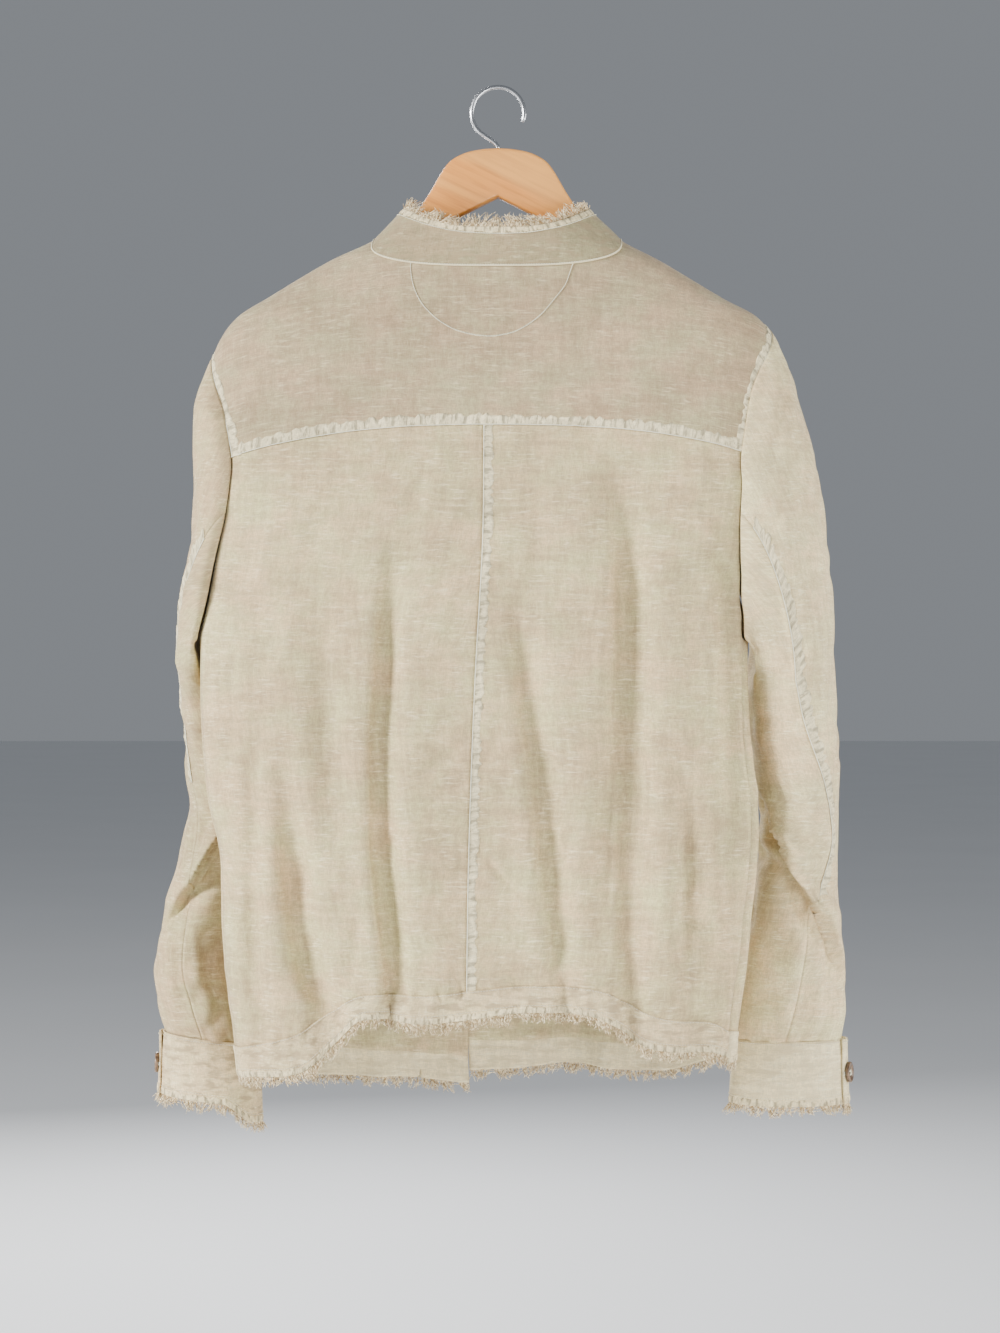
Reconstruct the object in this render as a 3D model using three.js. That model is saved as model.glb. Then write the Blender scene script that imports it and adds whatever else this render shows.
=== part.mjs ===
// A linen band-collar jacket hanging on a wooden hanger, in millimetres, +Z up.
// The origin is where a rail bears inside the hook. The jacket's back faces +Y, the wearer's left is +X.
import * as THREE from "three";

// Driving dimensions
const cloth = 2; // wall of a cloth piece
const gap = 0.3; // between two pieces at a seam
const lap = cloth + gap; // how far a piece on top of another is moved out
const hemBand = { strip: 2.6, lock: 9 }; // backing strip and frayed locks below a raw hem
const collarSize = { topWide: 77, topDeep: 43, strip: 2.4, lock: 9 };
const cuffSize = { tall: 54, lapAngle: 26, strip: 2.4, lock: 10 };
const placketWide = 45;
const button = { radius: 9, thick: 3.2, rim: 1.6, dish: 1 };
const wire = { radius: 1.9, hookRadius: 22 };
const wood = { thick: 13, bevel: 2, top: -50 };

const colours = {
  linen: { color: 0xc6bca4, roughness: 0.95, metalness: 0 },
  band: { color: 0xd9d0ba, roughness: 0.95, metalness: 0 },
  fray: { color: 0xe2dac6, roughness: 1, metalness: 0 },
  wood: { color: 0xdcae7c, roughness: 0.45, metalness: 0 },
  steel: { color: 0xb9bcc0, roughness: 0.25, metalness: 1 },
  horn: { color: 0x5a4534, roughness: 0.4, metalness: 0 },
};

const group = new THREE.Group();

function add(name, geometry, colour) {
  const mesh = new THREE.Mesh(geometry, new THREE.MeshStandardMaterial(colours[colour]));
  mesh.name = name;
  group.add(mesh);
  return mesh;
}

const mix = (a, b, t) => a + (b - a) * t;
const rad = THREE.MathUtils.degToRad;

// Reads a column of a table at a place along its key, smoothly between its rows.
function read(table, key, column, at) {
  const rows = table[0][key] <= table.at(-1)[key] ? table : [...table].reverse();
  const last = rows.length - 1;
  if (at <= rows[0][key]) return rows[0][column];
  if (at >= rows[last][key]) return rows[last][column];
  let i = 0;
  while (at > rows[i + 1][key]) i += 1;
  const slope = (k) => {
    const [a, b] = [rows[Math.max(k - 1, 0)], rows[Math.min(k + 1, last)]];
    return (b[column] - a[column]) / (b[key] - a[key]);
  };
  const step = rows[i + 1][key] - rows[i][key];
  const t = (at - rows[i][key]) / step;
  const [h, g] = [t * t * (3 - 2 * t), t * (1 - t)];
  const bend = g * step * (slope(i) * (1 - t) - slope(i + 1) * t);
  return mix(rows[i][column], rows[i + 1][column], h) + bend;
}

// The body as level rings. left and right are its outermost x, mid their y, back and front its depths,
// square and belly are the exponents of the ring at the back and the front: 2 is an ellipse, more is boxier.
const body = [
  { z: -118, left: 97, right: -97, mid: 0, back: 27, front: 27, square: 2, belly: 2 },
  { z: -127, left: 103, right: -102, mid: 0, back: 33, front: 32, square: 2, belly: 2 },
  { z: -145, left: 141, right: -136, mid: 0, back: 41, front: 39, square: 2, belly: 2 },
  { z: -177, left: 194, right: -189, mid: 0, back: 47, front: 45, square: 2.3, belly: 2.3 },
  { z: -192, left: 217, right: -216, mid: 0, back: 49, front: 47, square: 2.6, belly: 2.6 },
  { z: -212, left: 232, right: -231, mid: 0, back: 51, front: 49, square: 3, belly: 3 },
  { z: -233, left: 239, right: -236, mid: 0, back: 52, front: 50, square: 3.3, belly: 3.3 },
  { z: -270, left: 243, right: -234, mid: 0, back: 54, front: 52, square: 3.6, belly: 3.6 },
  { z: -312, left: 244, right: -226, mid: 1, back: 56, front: 54, square: 3.6, belly: 3.6 },
  { z: -378, left: 246, right: -216, mid: 4, back: 58, front: 56, square: 3.4, belly: 3.3 },
  { z: -440, left: 247, right: -209, mid: 10, back: 58, front: 57, square: 3, belly: 2.6 },
  { z: -523, left: 247, right: -210, mid: 12, back: 58, front: 57, square: 2.7, belly: 2.1 },
  { z: -595, left: 241, right: -217, mid: 12, back: 57, front: 57, square: 2.6, belly: 2 },
  { z: -640, left: 231, right: -217, mid: 12, back: 57, front: 57, square: 2.6, belly: 2 },
  { z: -702, left: 230, right: -210, mid: 12, back: 58, front: 58, square: 2.6, belly: 2 },
  { z: -778, left: 222, right: -201, mid: 12, back: 61, front: 60, square: 2.6, belly: 2 },
  { z: -850, left: 212, right: -196, mid: 12, back: 64, front: 61, square: 2.6, belly: 2 },
];

// Folds of the back and the fronts: troughs from top to bottom, bowed by bend at half height.
const folds = [
  { side: 1, top: -360, bottom: -775, x0: 86, x1: 88, bend: 9, width: 10, depth: 9 },
  { side: 1, top: -590, bottom: -800, x0: 178, x1: 138, bend: 6, width: 15, depth: 7 },
  { side: 1, top: -290, bottom: -790, x0: -99, x1: -107, bend: -5, width: 15, depth: 10 },
  { side: 1, top: -380, bottom: -780, x0: -8, x1: -56, bend: 0, width: 12, depth: 5 },
  { side: 1, top: -370, bottom: -640, x0: -184, x1: -188, bend: 0, width: 9, depth: 5 },
  { side: 1, top: -480, bottom: -830, x0: 200, x1: 196, bend: 0, width: 9, depth: 4 },
  { side: -1, top: -330, bottom: -800, x0: 112, x1: 104, bend: 6, width: 15, depth: 9 },
  { side: -1, top: -420, bottom: -840, x0: 170, x1: 158, bend: 0, width: 13, depth: 6 },
  { side: -1, top: -330, bottom: -800, x0: -96, x1: -90, bend: -5, width: 15, depth: 9 },
  { side: -1, top: -430, bottom: -840, x0: -152, x1: -146, bend: 4, width: 13, depth: 6 },
];

function foldDepth(x, side, z) {
  let depth = 0;
  for (const f of folds) {
    const t = (f.top - z) / (f.top - f.bottom);
    if (f.side !== side || t < 0 || t > 1.15) continue;
    const line = mix(f.x0, f.x1, t) + f.bend * Math.sin(Math.PI * t);
    const fade = Math.min(1, t * 4) ** 2;
    const off = (x - line) / f.width;
    depth += f.depth * fade * (1.25 * Math.exp(-off * off) - 0.45 * Math.exp((-off * off) / 6));
  }
  return depth;
}

// A point of the body at an angle in degrees, 0 at the left, 90 at the back, 180 at the right, and a height.
function bodyPoint(angle, z) {
  const at = (column) => read(body, "z", column, z);
  const [left, right] = [at("left"), at("right")];
  const [c, s] = [Math.cos(rad(angle)), Math.sin(rad(angle))];
  const side = s < 0 ? -1 : 1;
  const power = 2 / at(side > 0 ? "square" : "belly");
  const x = (left + right) / 2 + ((left - right) / 2) * Math.sign(c) * Math.abs(c) ** power;
  const depth = at(side > 0 ? "back" : "front") - side * at("mid") - foldDepth(x, side, z);
  return new THREE.Vector3(x, at("mid") + side * Math.abs(s) ** power * depth, z);
}

// The body's outward normal, from the surface just beside the point.
function bodyNormal(angle, z) {
  const [da, dz] = [2, 4];
  const across = bodyPoint(angle + da, z).sub(bodyPoint(angle - da, z));
  const down = bodyPoint(angle, z - dz).sub(bodyPoint(angle, z + dz));
  return down.cross(across).normalize();
}

// A spot on the body: its point moved out by some millimetres, and its normal.
function bodySpot([angle, z], out = 0) {
  const normal = bodyNormal(angle, z);
  return { point: bodyPoint(angle, z).addScaledVector(normal, out), normal, at: [angle, z] };
}

// The angle on the back (side 1) or front (side -1) where the body has a given x.
function angleAt(x, z, side = 1) {
  const at = (column) => read(body, "z", column, z);
  const across = (x - (at("left") + at("right")) / 2) / ((at("left") - at("right")) / 2);
  const bounded = THREE.MathUtils.clamp(across, -1, 1);
  const turned = Math.sign(bounded) * Math.abs(bounded) ** (at(side > 0 ? "square" : "belly") / 2);
  return side * THREE.MathUtils.radToDeg(Math.acos(turned));
}

// Builds a closed wall from a grid of spots, its skewed faces split along the shorter diagonal. Rows run
// down, columns across; joined closes it into a tube.
function wall(spots, joined = false, thick = cloth, spikes = null) {
  const [rows, columns] = [spots.length, spots[0].length];
  const vertices = [];
  const faces = [];
  const index = (layer, j, i) => (layer * rows + j) * columns + (i % columns);
  for (const layer of [0.5, -0.5]) {
    for (const row of spots) {
      vertices.push(...row.map(({ point, normal }) => point.clone().addScaledVector(normal, layer * thick)));
    }
  }
  const quad = (a, b, c, d) => faces.push([a, b, c], [a, c, d]);
  const spans = joined ? columns : columns - 1;
  for (let j = 0; j < rows - 1; j += 1) {
    for (let i = 0; i < spans; i += 1) {
      const corners = [[j, i], [j + 1, i], [j + 1, i + 1], [j, i + 1]];
      const places = corners.map(([row, column]) => spots[row][column % columns].point);
      const skewed = places[1].distanceTo(places[3]) < 0.85 * places[0].distanceTo(places[2]);
      if (skewed) corners.push(corners.shift());
      const [a, b, c, d] = corners;
      quad(...[a, b, c, d].map((at) => index(0, ...at)));
      quad(...[a, d, c, b].map((at) => index(1, ...at)));
    }
  }
  const low = rows - 1;
  for (let i = 0; i < spans; i += 1) {
    quad(index(0, 0, i), index(0, 0, i + 1), index(1, 0, i + 1), index(1, 0, i));
    const foot = [index(0, low, i), index(1, low, i), index(1, low, i + 1), index(0, low, i + 1)];
    const tip = spikes && spikes(i);
    if (!tip) quad(...foot);
    else {
      vertices.push(tip);
      foot.forEach((corner, k) => faces.push([corner, foot[(k + 1) % 4], vertices.length - 1]));
    }
  }
  if (!joined) {
    const far = columns - 1;
    for (let j = 0; j < low; j += 1) {
      quad(index(0, j, 0), index(1, j, 0), index(1, j + 1, 0), index(0, j + 1, 0));
      quad(index(0, j, far), index(0, j + 1, far), index(1, j + 1, far), index(1, j, far));
    }
  }
  return closed(vertices, faces);
}

// A geometry from vertices and triangles, turned so that its faces point out.
function closed(vertices, faces) {
  let volume = 0;
  for (const [a, b, c] of faces) volume += vertices[a].dot(vertices[b].clone().cross(vertices[c]));
  const order = volume < 0 ? faces.map(([a, b, c]) => [a, c, b]) : faces;
  const geometry = new THREE.BufferGeometry();
  const numbers = vertices.flatMap((vertex) => vertex.toArray());
  geometry.setAttribute("position", new THREE.Float32BufferAttribute(numbers, 3));
  geometry.setIndex(order.flat());
  geometry.computeVertexNormals();
  return geometry;
}

// Draws the edges of a grid in by half a seam gap, so that neighbours stay a gap apart.
function trimmed(spots, { top = 1, bottom = 1, start = 1, end = 1 } = {}) {
  const shift = (row, near, amount) =>
    row.map((spot, i) => {
      const step = near[i].point.clone().sub(spot.point);
      return { ...spot, point: spot.point.clone().addScaledVector(step, (amount * gap) / 2 / step.length()) };
    });
  const turn = (grid) => grid[0].map((_, i) => grid.map((row) => row[i]));
  const ends = (grid, first, last) => [
    shift(grid[0], grid[1], first),
    ...grid.slice(1, -1),
    shift(grid.at(-1), grid.at(-2), last),
  ];
  return turn(ends(turn(ends(spots, top, bottom)), start, end));
}

const even = (count) => Array.from({ length: count + 1 }, (_, i) => i / count);

// Seams

const neckZ = (angle) => {
  const [x, back] = [Math.abs(Math.cos(rad(angle))), Math.sin(rad(angle)) > 0];
  return mix(back ? -154 : -144, -126, x ** 2.6);
};
const yokeZ = (x) => -286 - 24 * Math.abs(x / 216) ** 2.5;

// The armhole seams, down the back, under the arm and up the front. Angles are from the outermost line.
const armholes = {
  left: [
    { z: -226, angle: 0 },
    { z: -244, angle: 16 },
    { z: -274, angle: 29 },
    { z: -312, angle: 35 },
    { z: -335, angle: 35 },
    { z: -358, angle: 33 },
    { z: -390, angle: 28 },
    { z: -420, angle: 22 },
    { z: -446, angle: 15 },
    { z: -462, angle: 6 },
    { z: -446, angle: -7 },
    { z: -415, angle: -22 },
    { z: -375, angle: -33 },
    { z: -330, angle: -38 },
    { z: -290, angle: -38 },
    { z: -254, angle: -30 },
    { z: -236, angle: -15 },
  ],
  right: [
    { z: -203, angle: 0 },
    { z: -220, angle: 20 },
    { z: -254, angle: 35 },
    { z: -307, angle: 36.5 },
    { z: -335, angle: 33 },
    { z: -358, angle: 31 },
    { z: -390, angle: 27 },
    { z: -420, angle: 22 },
    { z: -445, angle: 17 },
    { z: -462, angle: 13 },
    { z: -446, angle: -5 },
    { z: -415, angle: -20 },
    { z: -375, angle: -32 },
    { z: -330, angle: -37 },
    { z: -290, angle: -38 },
    { z: -248, angle: -32 },
    { z: -218, angle: -16 },
  ],
};
const corner = { back: 3, sleeve: 5, under: 9, front: 13, shoulder: 15 };

// The armhole seam as angle and height at a place counted in rows of its table.
function armhole(side, place) {
  const rows = armholes[side];
  const i = Math.floor(place);
  const [a, b] = [rows[i % rows.length], rows[(i + 1) % rows.length]];
  const angle = mix(a.angle, b.angle, place - i);
  return [side === "left" ? angle : 180 - angle, mix(a.z, b.z, place - i)];
}

// Side seams run from under the arm to the hem, the right one further onto the back.
const hemSide = { left: -800, right: -786 };
const sideAngle = {
  left: [
    { z: -462, angle: 6 },
    { z: -560, angle: 9 },
    { z: -850, angle: 10 },
  ],
  right: [
    { z: -462, angle: 13 },
    { z: -560, angle: 17 },
    { z: -850, angle: 22 },
  ],
};

function sideSeam(side, z) {
  const angle = read(sideAngle[side], "z", "angle", z);
  return [side === "left" ? angle : 180 - angle, z];
}

// The hem: where its band begins and where its raw edge is stitched, across the back and the fronts.
const hemBack = [
  { x: 213, band: -800, edge: -823 },
  { x: 165, band: -787, edge: -817 },
  { x: 136, band: -767, edge: -794 },
  { x: 112, band: -754, edge: -773 },
  { x: 60, band: -754, edge: -776 },
  { x: 20, band: -750, edge: -772 },
  { x: -22, band: -746, edge: -767 },
  { x: -72, band: -748, edge: -769 },
  { x: -92, band: -753, edge: -776 },
  { x: -121, band: -769, edge: -795 },
  { x: -145, band: -775, edge: -800 },
  { x: -178, band: -777, edge: -802 },
  { x: -196, band: -786, edge: -810 },
];
const hemFront = {
  left: [
    { x: 213, band: -800, edge: -823 },
    { x: 150, band: -809, edge: -833 },
    { x: 85, band: -815, edge: -837 },
    { x: 27, band: -820, edge: -843 },
  ],
  right: [
    { x: 27, band: -806, edge: -832 },
    { x: -20, band: -806, edge: -830 },
    { x: -60, band: -803, edge: -825 },
    { x: -110, band: -807, edge: -830 },
    { x: -150, band: -803, edge: -827 },
    { x: -196, band: -786, edge: -810 },
  ],
};

// The columns of each back half, from its side to the centre seam, closer at its folds.
const backColumns = {
  left: [0, 0.1, 0.22, 0.34, 0.46, 0.55, 0.62, 0.69, 0.78, 0.89, 1],
  right: [0, 0.07, 0.14, 0.24, 0.34, 0.42, 0.5, 0.6, 0.72, 0.86, 1],
};
const levels = [-490, -523, -560, -595, -625, -659, -700, -740, -770];
const centreSeam = [
  { z: -286, x: 11.5 },
  { z: -378, x: 12.5 },
  { z: -500, x: 19 },
  { z: -640, x: 24 },
  { z: -780, x: 26 },
];
const frontEdge = [
  { z: -140, x: 5 },
  { z: -480, x: 17 },
  { z: -850, x: 27 },
];
const onSide = (side, angle) => (side === "left" ? angle : 180 - angle);

// A spot of the seam between yoke and back half, u counted from the side to the centre seam.
function yokeSeam(side, u) {
  const start = armhole(side, corner.back);
  if (u === 0) return start;
  const x = mix(bodyPoint(...start).x, centreSeam[0].x, u);
  return [angleAt(x, yokeZ(x)), yokeZ(x)];
}

// Yoke: over both shoulders, from the neck seam to the armholes, the back seam and the front shoulder seams.
const yokeFrontAngle = 30;
const yokeBackAngle = 37; // where the columns from the armholes' back corners meet the neck
const yokeRows = [0, 0.3, 0.58, 0.82, 1]; // from the neck to the outer seams

function yoke() {
  const arms = [0, 1, 2, 3, 4];
  const outer = [
    ...arms.map((i) => armhole("left", corner.shoulder + i)),
    ...backColumns.left.map((u) => yokeSeam("left", u)),
    ...[...backColumns.right].reverse().slice(1).map((u) => yokeSeam("right", u)),
    ...[...arms].reverse().map((i) => armhole("right", corner.shoulder + i)),
  ];
  const last = outer.length - 1;
  const neckAngle = (i) => {
    const along = Math.min(i, last - i) - arms.length;
    const share = along < 0 ? along / arms.length : along / (last / 2 - arms.length);
    const angle = mix(yokeBackAngle, along < 0 ? -yokeFrontAngle : 90, Math.abs(share));
    return i < last / 2 ? angle : 180 - angle;
  };
  const spots = yokeRows.map((v) =>
    outer.map(([angle, z], i) => {
      const neck = neckAngle(i);
      return bodySpot([mix(neck, angle, v), mix(neckZ(neck), z, v)]);
    }),
  );
  add("yoke", wall(trimmed(spots)), "linen");
}

// The rows of a panel's outer edge: its stretch of the armhole, then the side seam down to the hem.
function sideEdge(side, from, step) {
  const arm = [];
  for (let i = from; i !== corner.under + step; i += step) arm.push(armhole(side, i));
  const seam = levels.filter((z) => z > hemSide[side] + 12).map((z) => sideSeam(side, z));
  return [...arm, ...seam, sideSeam(side, hemSide[side])];
}

// Back halves: from the yoke seam to the hem band, and from the armhole and side seam to the centre seam.
function backSpots(side, out = 0) {
  const edge = sideEdge(side, corner.back, 1);
  const [first, last] = [edge[0], edge.at(-1)];
  return edge.map(([angle, z]) => {
    const v = (first[1] - z) / (first[1] - last[1]);
    const edgeX = bodyPoint(angle, z).x;
    return backColumns[side].map((u) => {
      if (u === 0) return bodySpot([angle, z], out);
      if (v === 0) return bodySpot(yokeSeam(side, u), out);
      const lowX = mix(bodyPoint(...last).x, centreSeam.at(-1).x, u);
      const height = mix(yokeSeam(side, u)[1], read(hemBack, "x", "band", lowX), v);
      const x = mix(edgeX, read(centreSeam, "z", "x", height), u);
      return bodySpot([angleAt(x, height), height], out);
    });
  });
}

// Fronts: from the shoulder and neck seams to the hem band, and from armhole and side seam to the front edge.
const frontColumns = [0, 0.1, 0.2, 0.32, 0.44, 0.56, 0.69, 0.84];
const placketColumns = [1, 0.5, 0]; // shares of the placket's width from the front edge

function frontSpots(side, out = 0) {
  const arm = sideEdge(side, corner.shoulder, -1).map(([angle, z]) => [onSide(side, angle), z]);
  const neck = [-yokeFrontAngle, neckZ(-yokeFrontAngle)];
  const shoulder = yokeRows.slice(0, -1).map((v) => neck.map((value, k) => mix(value, arm[0][k], v)));
  const edge = [...shoulder, ...arm];
  const last = edge.at(-1);
  const sign = side === "left" ? 1 : -1;
  const fromSide = (x, z) => (side === "left" ? angleAt(x, z, -1) : -angleAt(x, z, -1) - 180);
  const placketX = (z, share) => read(frontEdge, "z", "x", z) + sign * placketWide * share;
  const neckFoot = -144;
  const hemZ = -850;
  const placketAngle = (z) => fromSide(placketX(z, 1), z);
  const lowEdge = bodyPoint(onSide(side, last[0]), last[1]).x;
  return edge.map(([edgeAngle, z]) => {
    const v = (neck[1] - z) / (neck[1] - last[1]);
    const panel = frontColumns.map((u) => {
      const topAngle = mix(neck[0], placketAngle(neckFoot), u);
      const lowX = mix(lowEdge, placketX(hemZ, 1), u);
      const lowZ = read(hemFront[side], "x", "band", lowX);
      const lowAngle = fromSide(lowX, lowZ);
      const height = u > 0 ? mix(neckZ(onSide(side, topAngle)), lowZ, v) : z;
      const atSide = edgeAngle - mix(neck[0], last[0], v);
      const atPlacket = placketAngle(height) - mix(placketAngle(neckFoot), placketAngle(hemZ), v);
      const angle = u > 0 ? mix(topAngle, lowAngle, v) + atSide * (1 - u) + atPlacket * u : edgeAngle;
      return [onSide(side, angle), height];
    });
    const placket = placketColumns.map((share) => {
      const topX = placketX(neckFoot, share);
      const top = neckZ(onSide(side, fromSide(topX, neckFoot)));
      const height = mix(top, read(hemFront[side], "x", "band", placketX(hemZ, share)), v);
      return [onSide(side, fromSide(placketX(height, share), height)), height];
    });
    return [...panel, ...placket].map((at) => bodySpot(at, out));
  });
}

// A frayed raw edge: a narrow strip beyond the last row of a piece, with locks standing on every other step.
function fringe(name, spots, locks, size) {
  const [edge, before] = [spots.at(-1), spots.at(-2)];
  const steps = locks * 2 - 1;
  const row = (beyond) =>
    even(steps).map((t) => {
      const place = t * (edge.length - 1);
      const i = Math.min(Math.floor(place), edge.length - 2);
      const between = (list) => list[i].point.clone().lerp(list[i + 1].point, place - i);
      const run = between(edge).sub(between(before)).normalize();
      const normal = edge[i].normal.clone().lerp(edge[i + 1].normal, place - i).normalize();
      return { point: between(edge).addScaledVector(run, beyond), normal, run };
    });
  const strip = [row(2 * gap), row(2 * gap + size.strip)];
  const tip = (i) => {
    if (i % 2 === 1) return null;
    const [a, b] = [strip[1][i], strip[1][i + 1]];
    const long = size.lock * (0.82 + 0.18 * Math.cos(i * 1.7));
    const point = a.point.clone().lerp(b.point, 0.5 + 0.45 * Math.sin(i * 2.4));
    return point.addScaledVector(a.run, long).addScaledVector(a.normal, 1.2 * Math.sin(i * 1.1));
  };
  add(name, wall(strip, false, cloth * 0.8, tip), "fray");
}

// Hem bands: below the last row of the panels, down to the stitched raw edge.
function hemSpots(row, table) {
  return even(2).map((v) =>
    row.map(({ at: [angle, z], point }) => bodySpot([angle, mix(z, read(table, "x", "edge", point.x), v)])),
  );
}

// Collar: a band round the neck, its ends meeting at the centre front.
const collarTilt = { backRise: 31, sideRise: 24 };

function collarPoint(angle, v) {
  const low = bodyPoint(angle, neckZ(angle));
  const [c, s] = [Math.cos(rad(angle)), Math.sin(rad(angle))];
  const rise = mix(collarTilt.backRise, collarTilt.sideRise, c * c);
  const top = new THREE.Vector3(1 + collarSize.topWide * c, collarSize.topDeep * s, low.z + rise);
  return low.lerp(top, v);
}

function collarSpot(angle, v) {
  const around = collarPoint(angle + 1, v).sub(collarPoint(angle - 1, v));
  const up = collarPoint(angle, v + 0.05).sub(collarPoint(angle, v - 0.05));
  return { point: collarPoint(angle, v), normal: around.cross(up).normalize() };
}

function collar() {
  const ends = [-88, 266];
  const foot = 0.024;
  const spots = [foot, 0.5, 1].map((v) => even(34).map((t) => collarSpot(mix(...ends, t), v)));
  add("collar", wall(spots), "linen");
  fringe("fray_collar", spots, 36, collarSize);
}

// Sleeves as rings below the arm: outer and inner distances from x = 0, y of the middle and half depth. turn
// swings a ring's back outward, lean is how much higher its outer side is, seam is the back seam's angle, 0
// outward and 90 back, and crowd draws the under sleeve's columns towards that seam.
const sleeves = {
  left: [
    { z: -490, outer: 260, inner: 210, y: -54, deep: 66, turn: 24, lean: 24, seam: 60, crowd: 1.8 },
    { z: -530, outer: 268, inner: 212, y: -74, deep: 62, turn: 12, lean: 14, seam: 52, crowd: 1.5 },
    { z: -575, outer: 271, inner: 206, y: -82, deep: 56, turn: 4, lean: 6, seam: 48, crowd: 1.2 },
    { z: -610, outer: 269, inner: 203, y: -84, deep: 52, turn: 0, lean: 0, seam: 52, crowd: 1 },
    { z: -645, outer: 277, inner: 210, y: -84, deep: 48, turn: 0, lean: 0, seam: 62, crowd: 1 },
    { z: -700, outer: 291, inner: 222, y: -88, deep: 43, turn: 0, lean: 0, seam: 72, crowd: 1 },
    { z: -743, outer: 300, inner: 224, y: -90, deep: 39, turn: 0, lean: 2, seam: 76, crowd: 1 },
    { z: -775, outer: 298, inner: 216, y: -90, deep: 35, turn: 0, lean: 4, seam: 80, crowd: 1 },
    { z: -807, outer: 291, inner: 209, y: -88, deep: 30, turn: 0, lean: 5, seam: 84, crowd: 1 },
  ],
  right: [
    { z: -490, outer: 284, inner: 212, y: -26, deep: 62, turn: 4, lean: 26, seam: 101, crowd: 1.2 },
    { z: -533, outer: 288, inner: 215, y: -32, deep: 61, turn: 0, lean: 10, seam: 86, crowd: 1.1 },
    { z: -588, outer: 291, inner: 222, y: -38, deep: 58, turn: 0, lean: 4, seam: 62, crowd: 1 },
    { z: -630, outer: 289, inner: 224, y: -40, deep: 54, turn: 0, lean: 0, seam: 45, crowd: 1 },
    { z: -677, outer: 289, inner: 219, y: -46, deep: 49, turn: 0, lean: 0, seam: 70, crowd: 1 },
    { z: -729, outer: 295, inner: 214, y: -54, deep: 43, turn: 0, lean: 0, seam: 84, crowd: 1 },
    { z: -766, outer: 299, inner: 208, y: -60, deep: 36, turn: 0, lean: 0, seam: 90, crowd: 1 },
    { z: -805, outer: 297, inner: 203, y: -64, deep: 29, turn: 0, lean: 0, seam: 96, crowd: 1 },
  ],
};
const frontSeam = 250;
const capRows = 5;
const armRows = 12;

// The fold at the bend of the arm runs across the sleeve's back, from inner to outer height.
const elbows = {
  left: { inner: -632, outer: -690, depth: 5, reach: 16 },
  right: { inner: -592, outer: -750, depth: 5, reach: 18 },
};

// A point of a sleeve's ring at a height, with the angle 0 outward, 90 back, 180 inward.
function sleevePoint(side, angle, z) {
  const at = (column) => read(sleeves[side], "z", column, z);
  const [c, s] = [Math.cos(rad(angle)), Math.sin(rad(angle))];
  const fold = elbows[side];
  const off = (z - mix(fold.inner, fold.outer, (1 + c) / 2)) / fold.reach;
  const swell = fold.depth * Math.max(0, s) * 2.3 * off * Math.exp(-off * off);
  const [wide, deep] = [((at("outer") - at("inner")) / 2) * c, (at("deep") + swell) * s];
  const [cosTurn, sinTurn] = [Math.cos(rad(at("turn"))), Math.sin(rad(at("turn")))];
  const x = (at("outer") + at("inner")) / 2 + wide * cosTurn + deep * sinTurn;
  const sign = side === "left" ? 1 : -1;
  return new THREE.Vector3(sign * x, at("y") - wide * sinTurn + deep * cosTurn, z + at("lean") * c);
}

// Moves a point outward from the middle of the body's ring where it would come closer than the clearance.
const clearance = 6;

function clearOfBody(point) {
  const at = (column) => read(body, "z", column, point.z);
  const middle = (at("left") + at("right")) / 2;
  const [dx, dy] = [point.x - middle, point.y - at("mid")];
  const side = dy > 0 ? 1 : -1;
  const depth = at(side > 0 ? "back" : "front") - side * at("mid");
  const power = at(side > 0 ? "square" : "belly");
  const half = (at("left") - at("right")) / 2;
  const reach = (Math.abs(dx / half) ** power + Math.abs(dy / depth) ** power) ** (1 / power);
  const wanted = 1 + clearance / Math.hypot(dx, dy);
  const grow = Math.max(1, wanted / reach);
  return new THREE.Vector3(middle + dx * grow, at("mid") + dy * grow, point.z);
}

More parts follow.
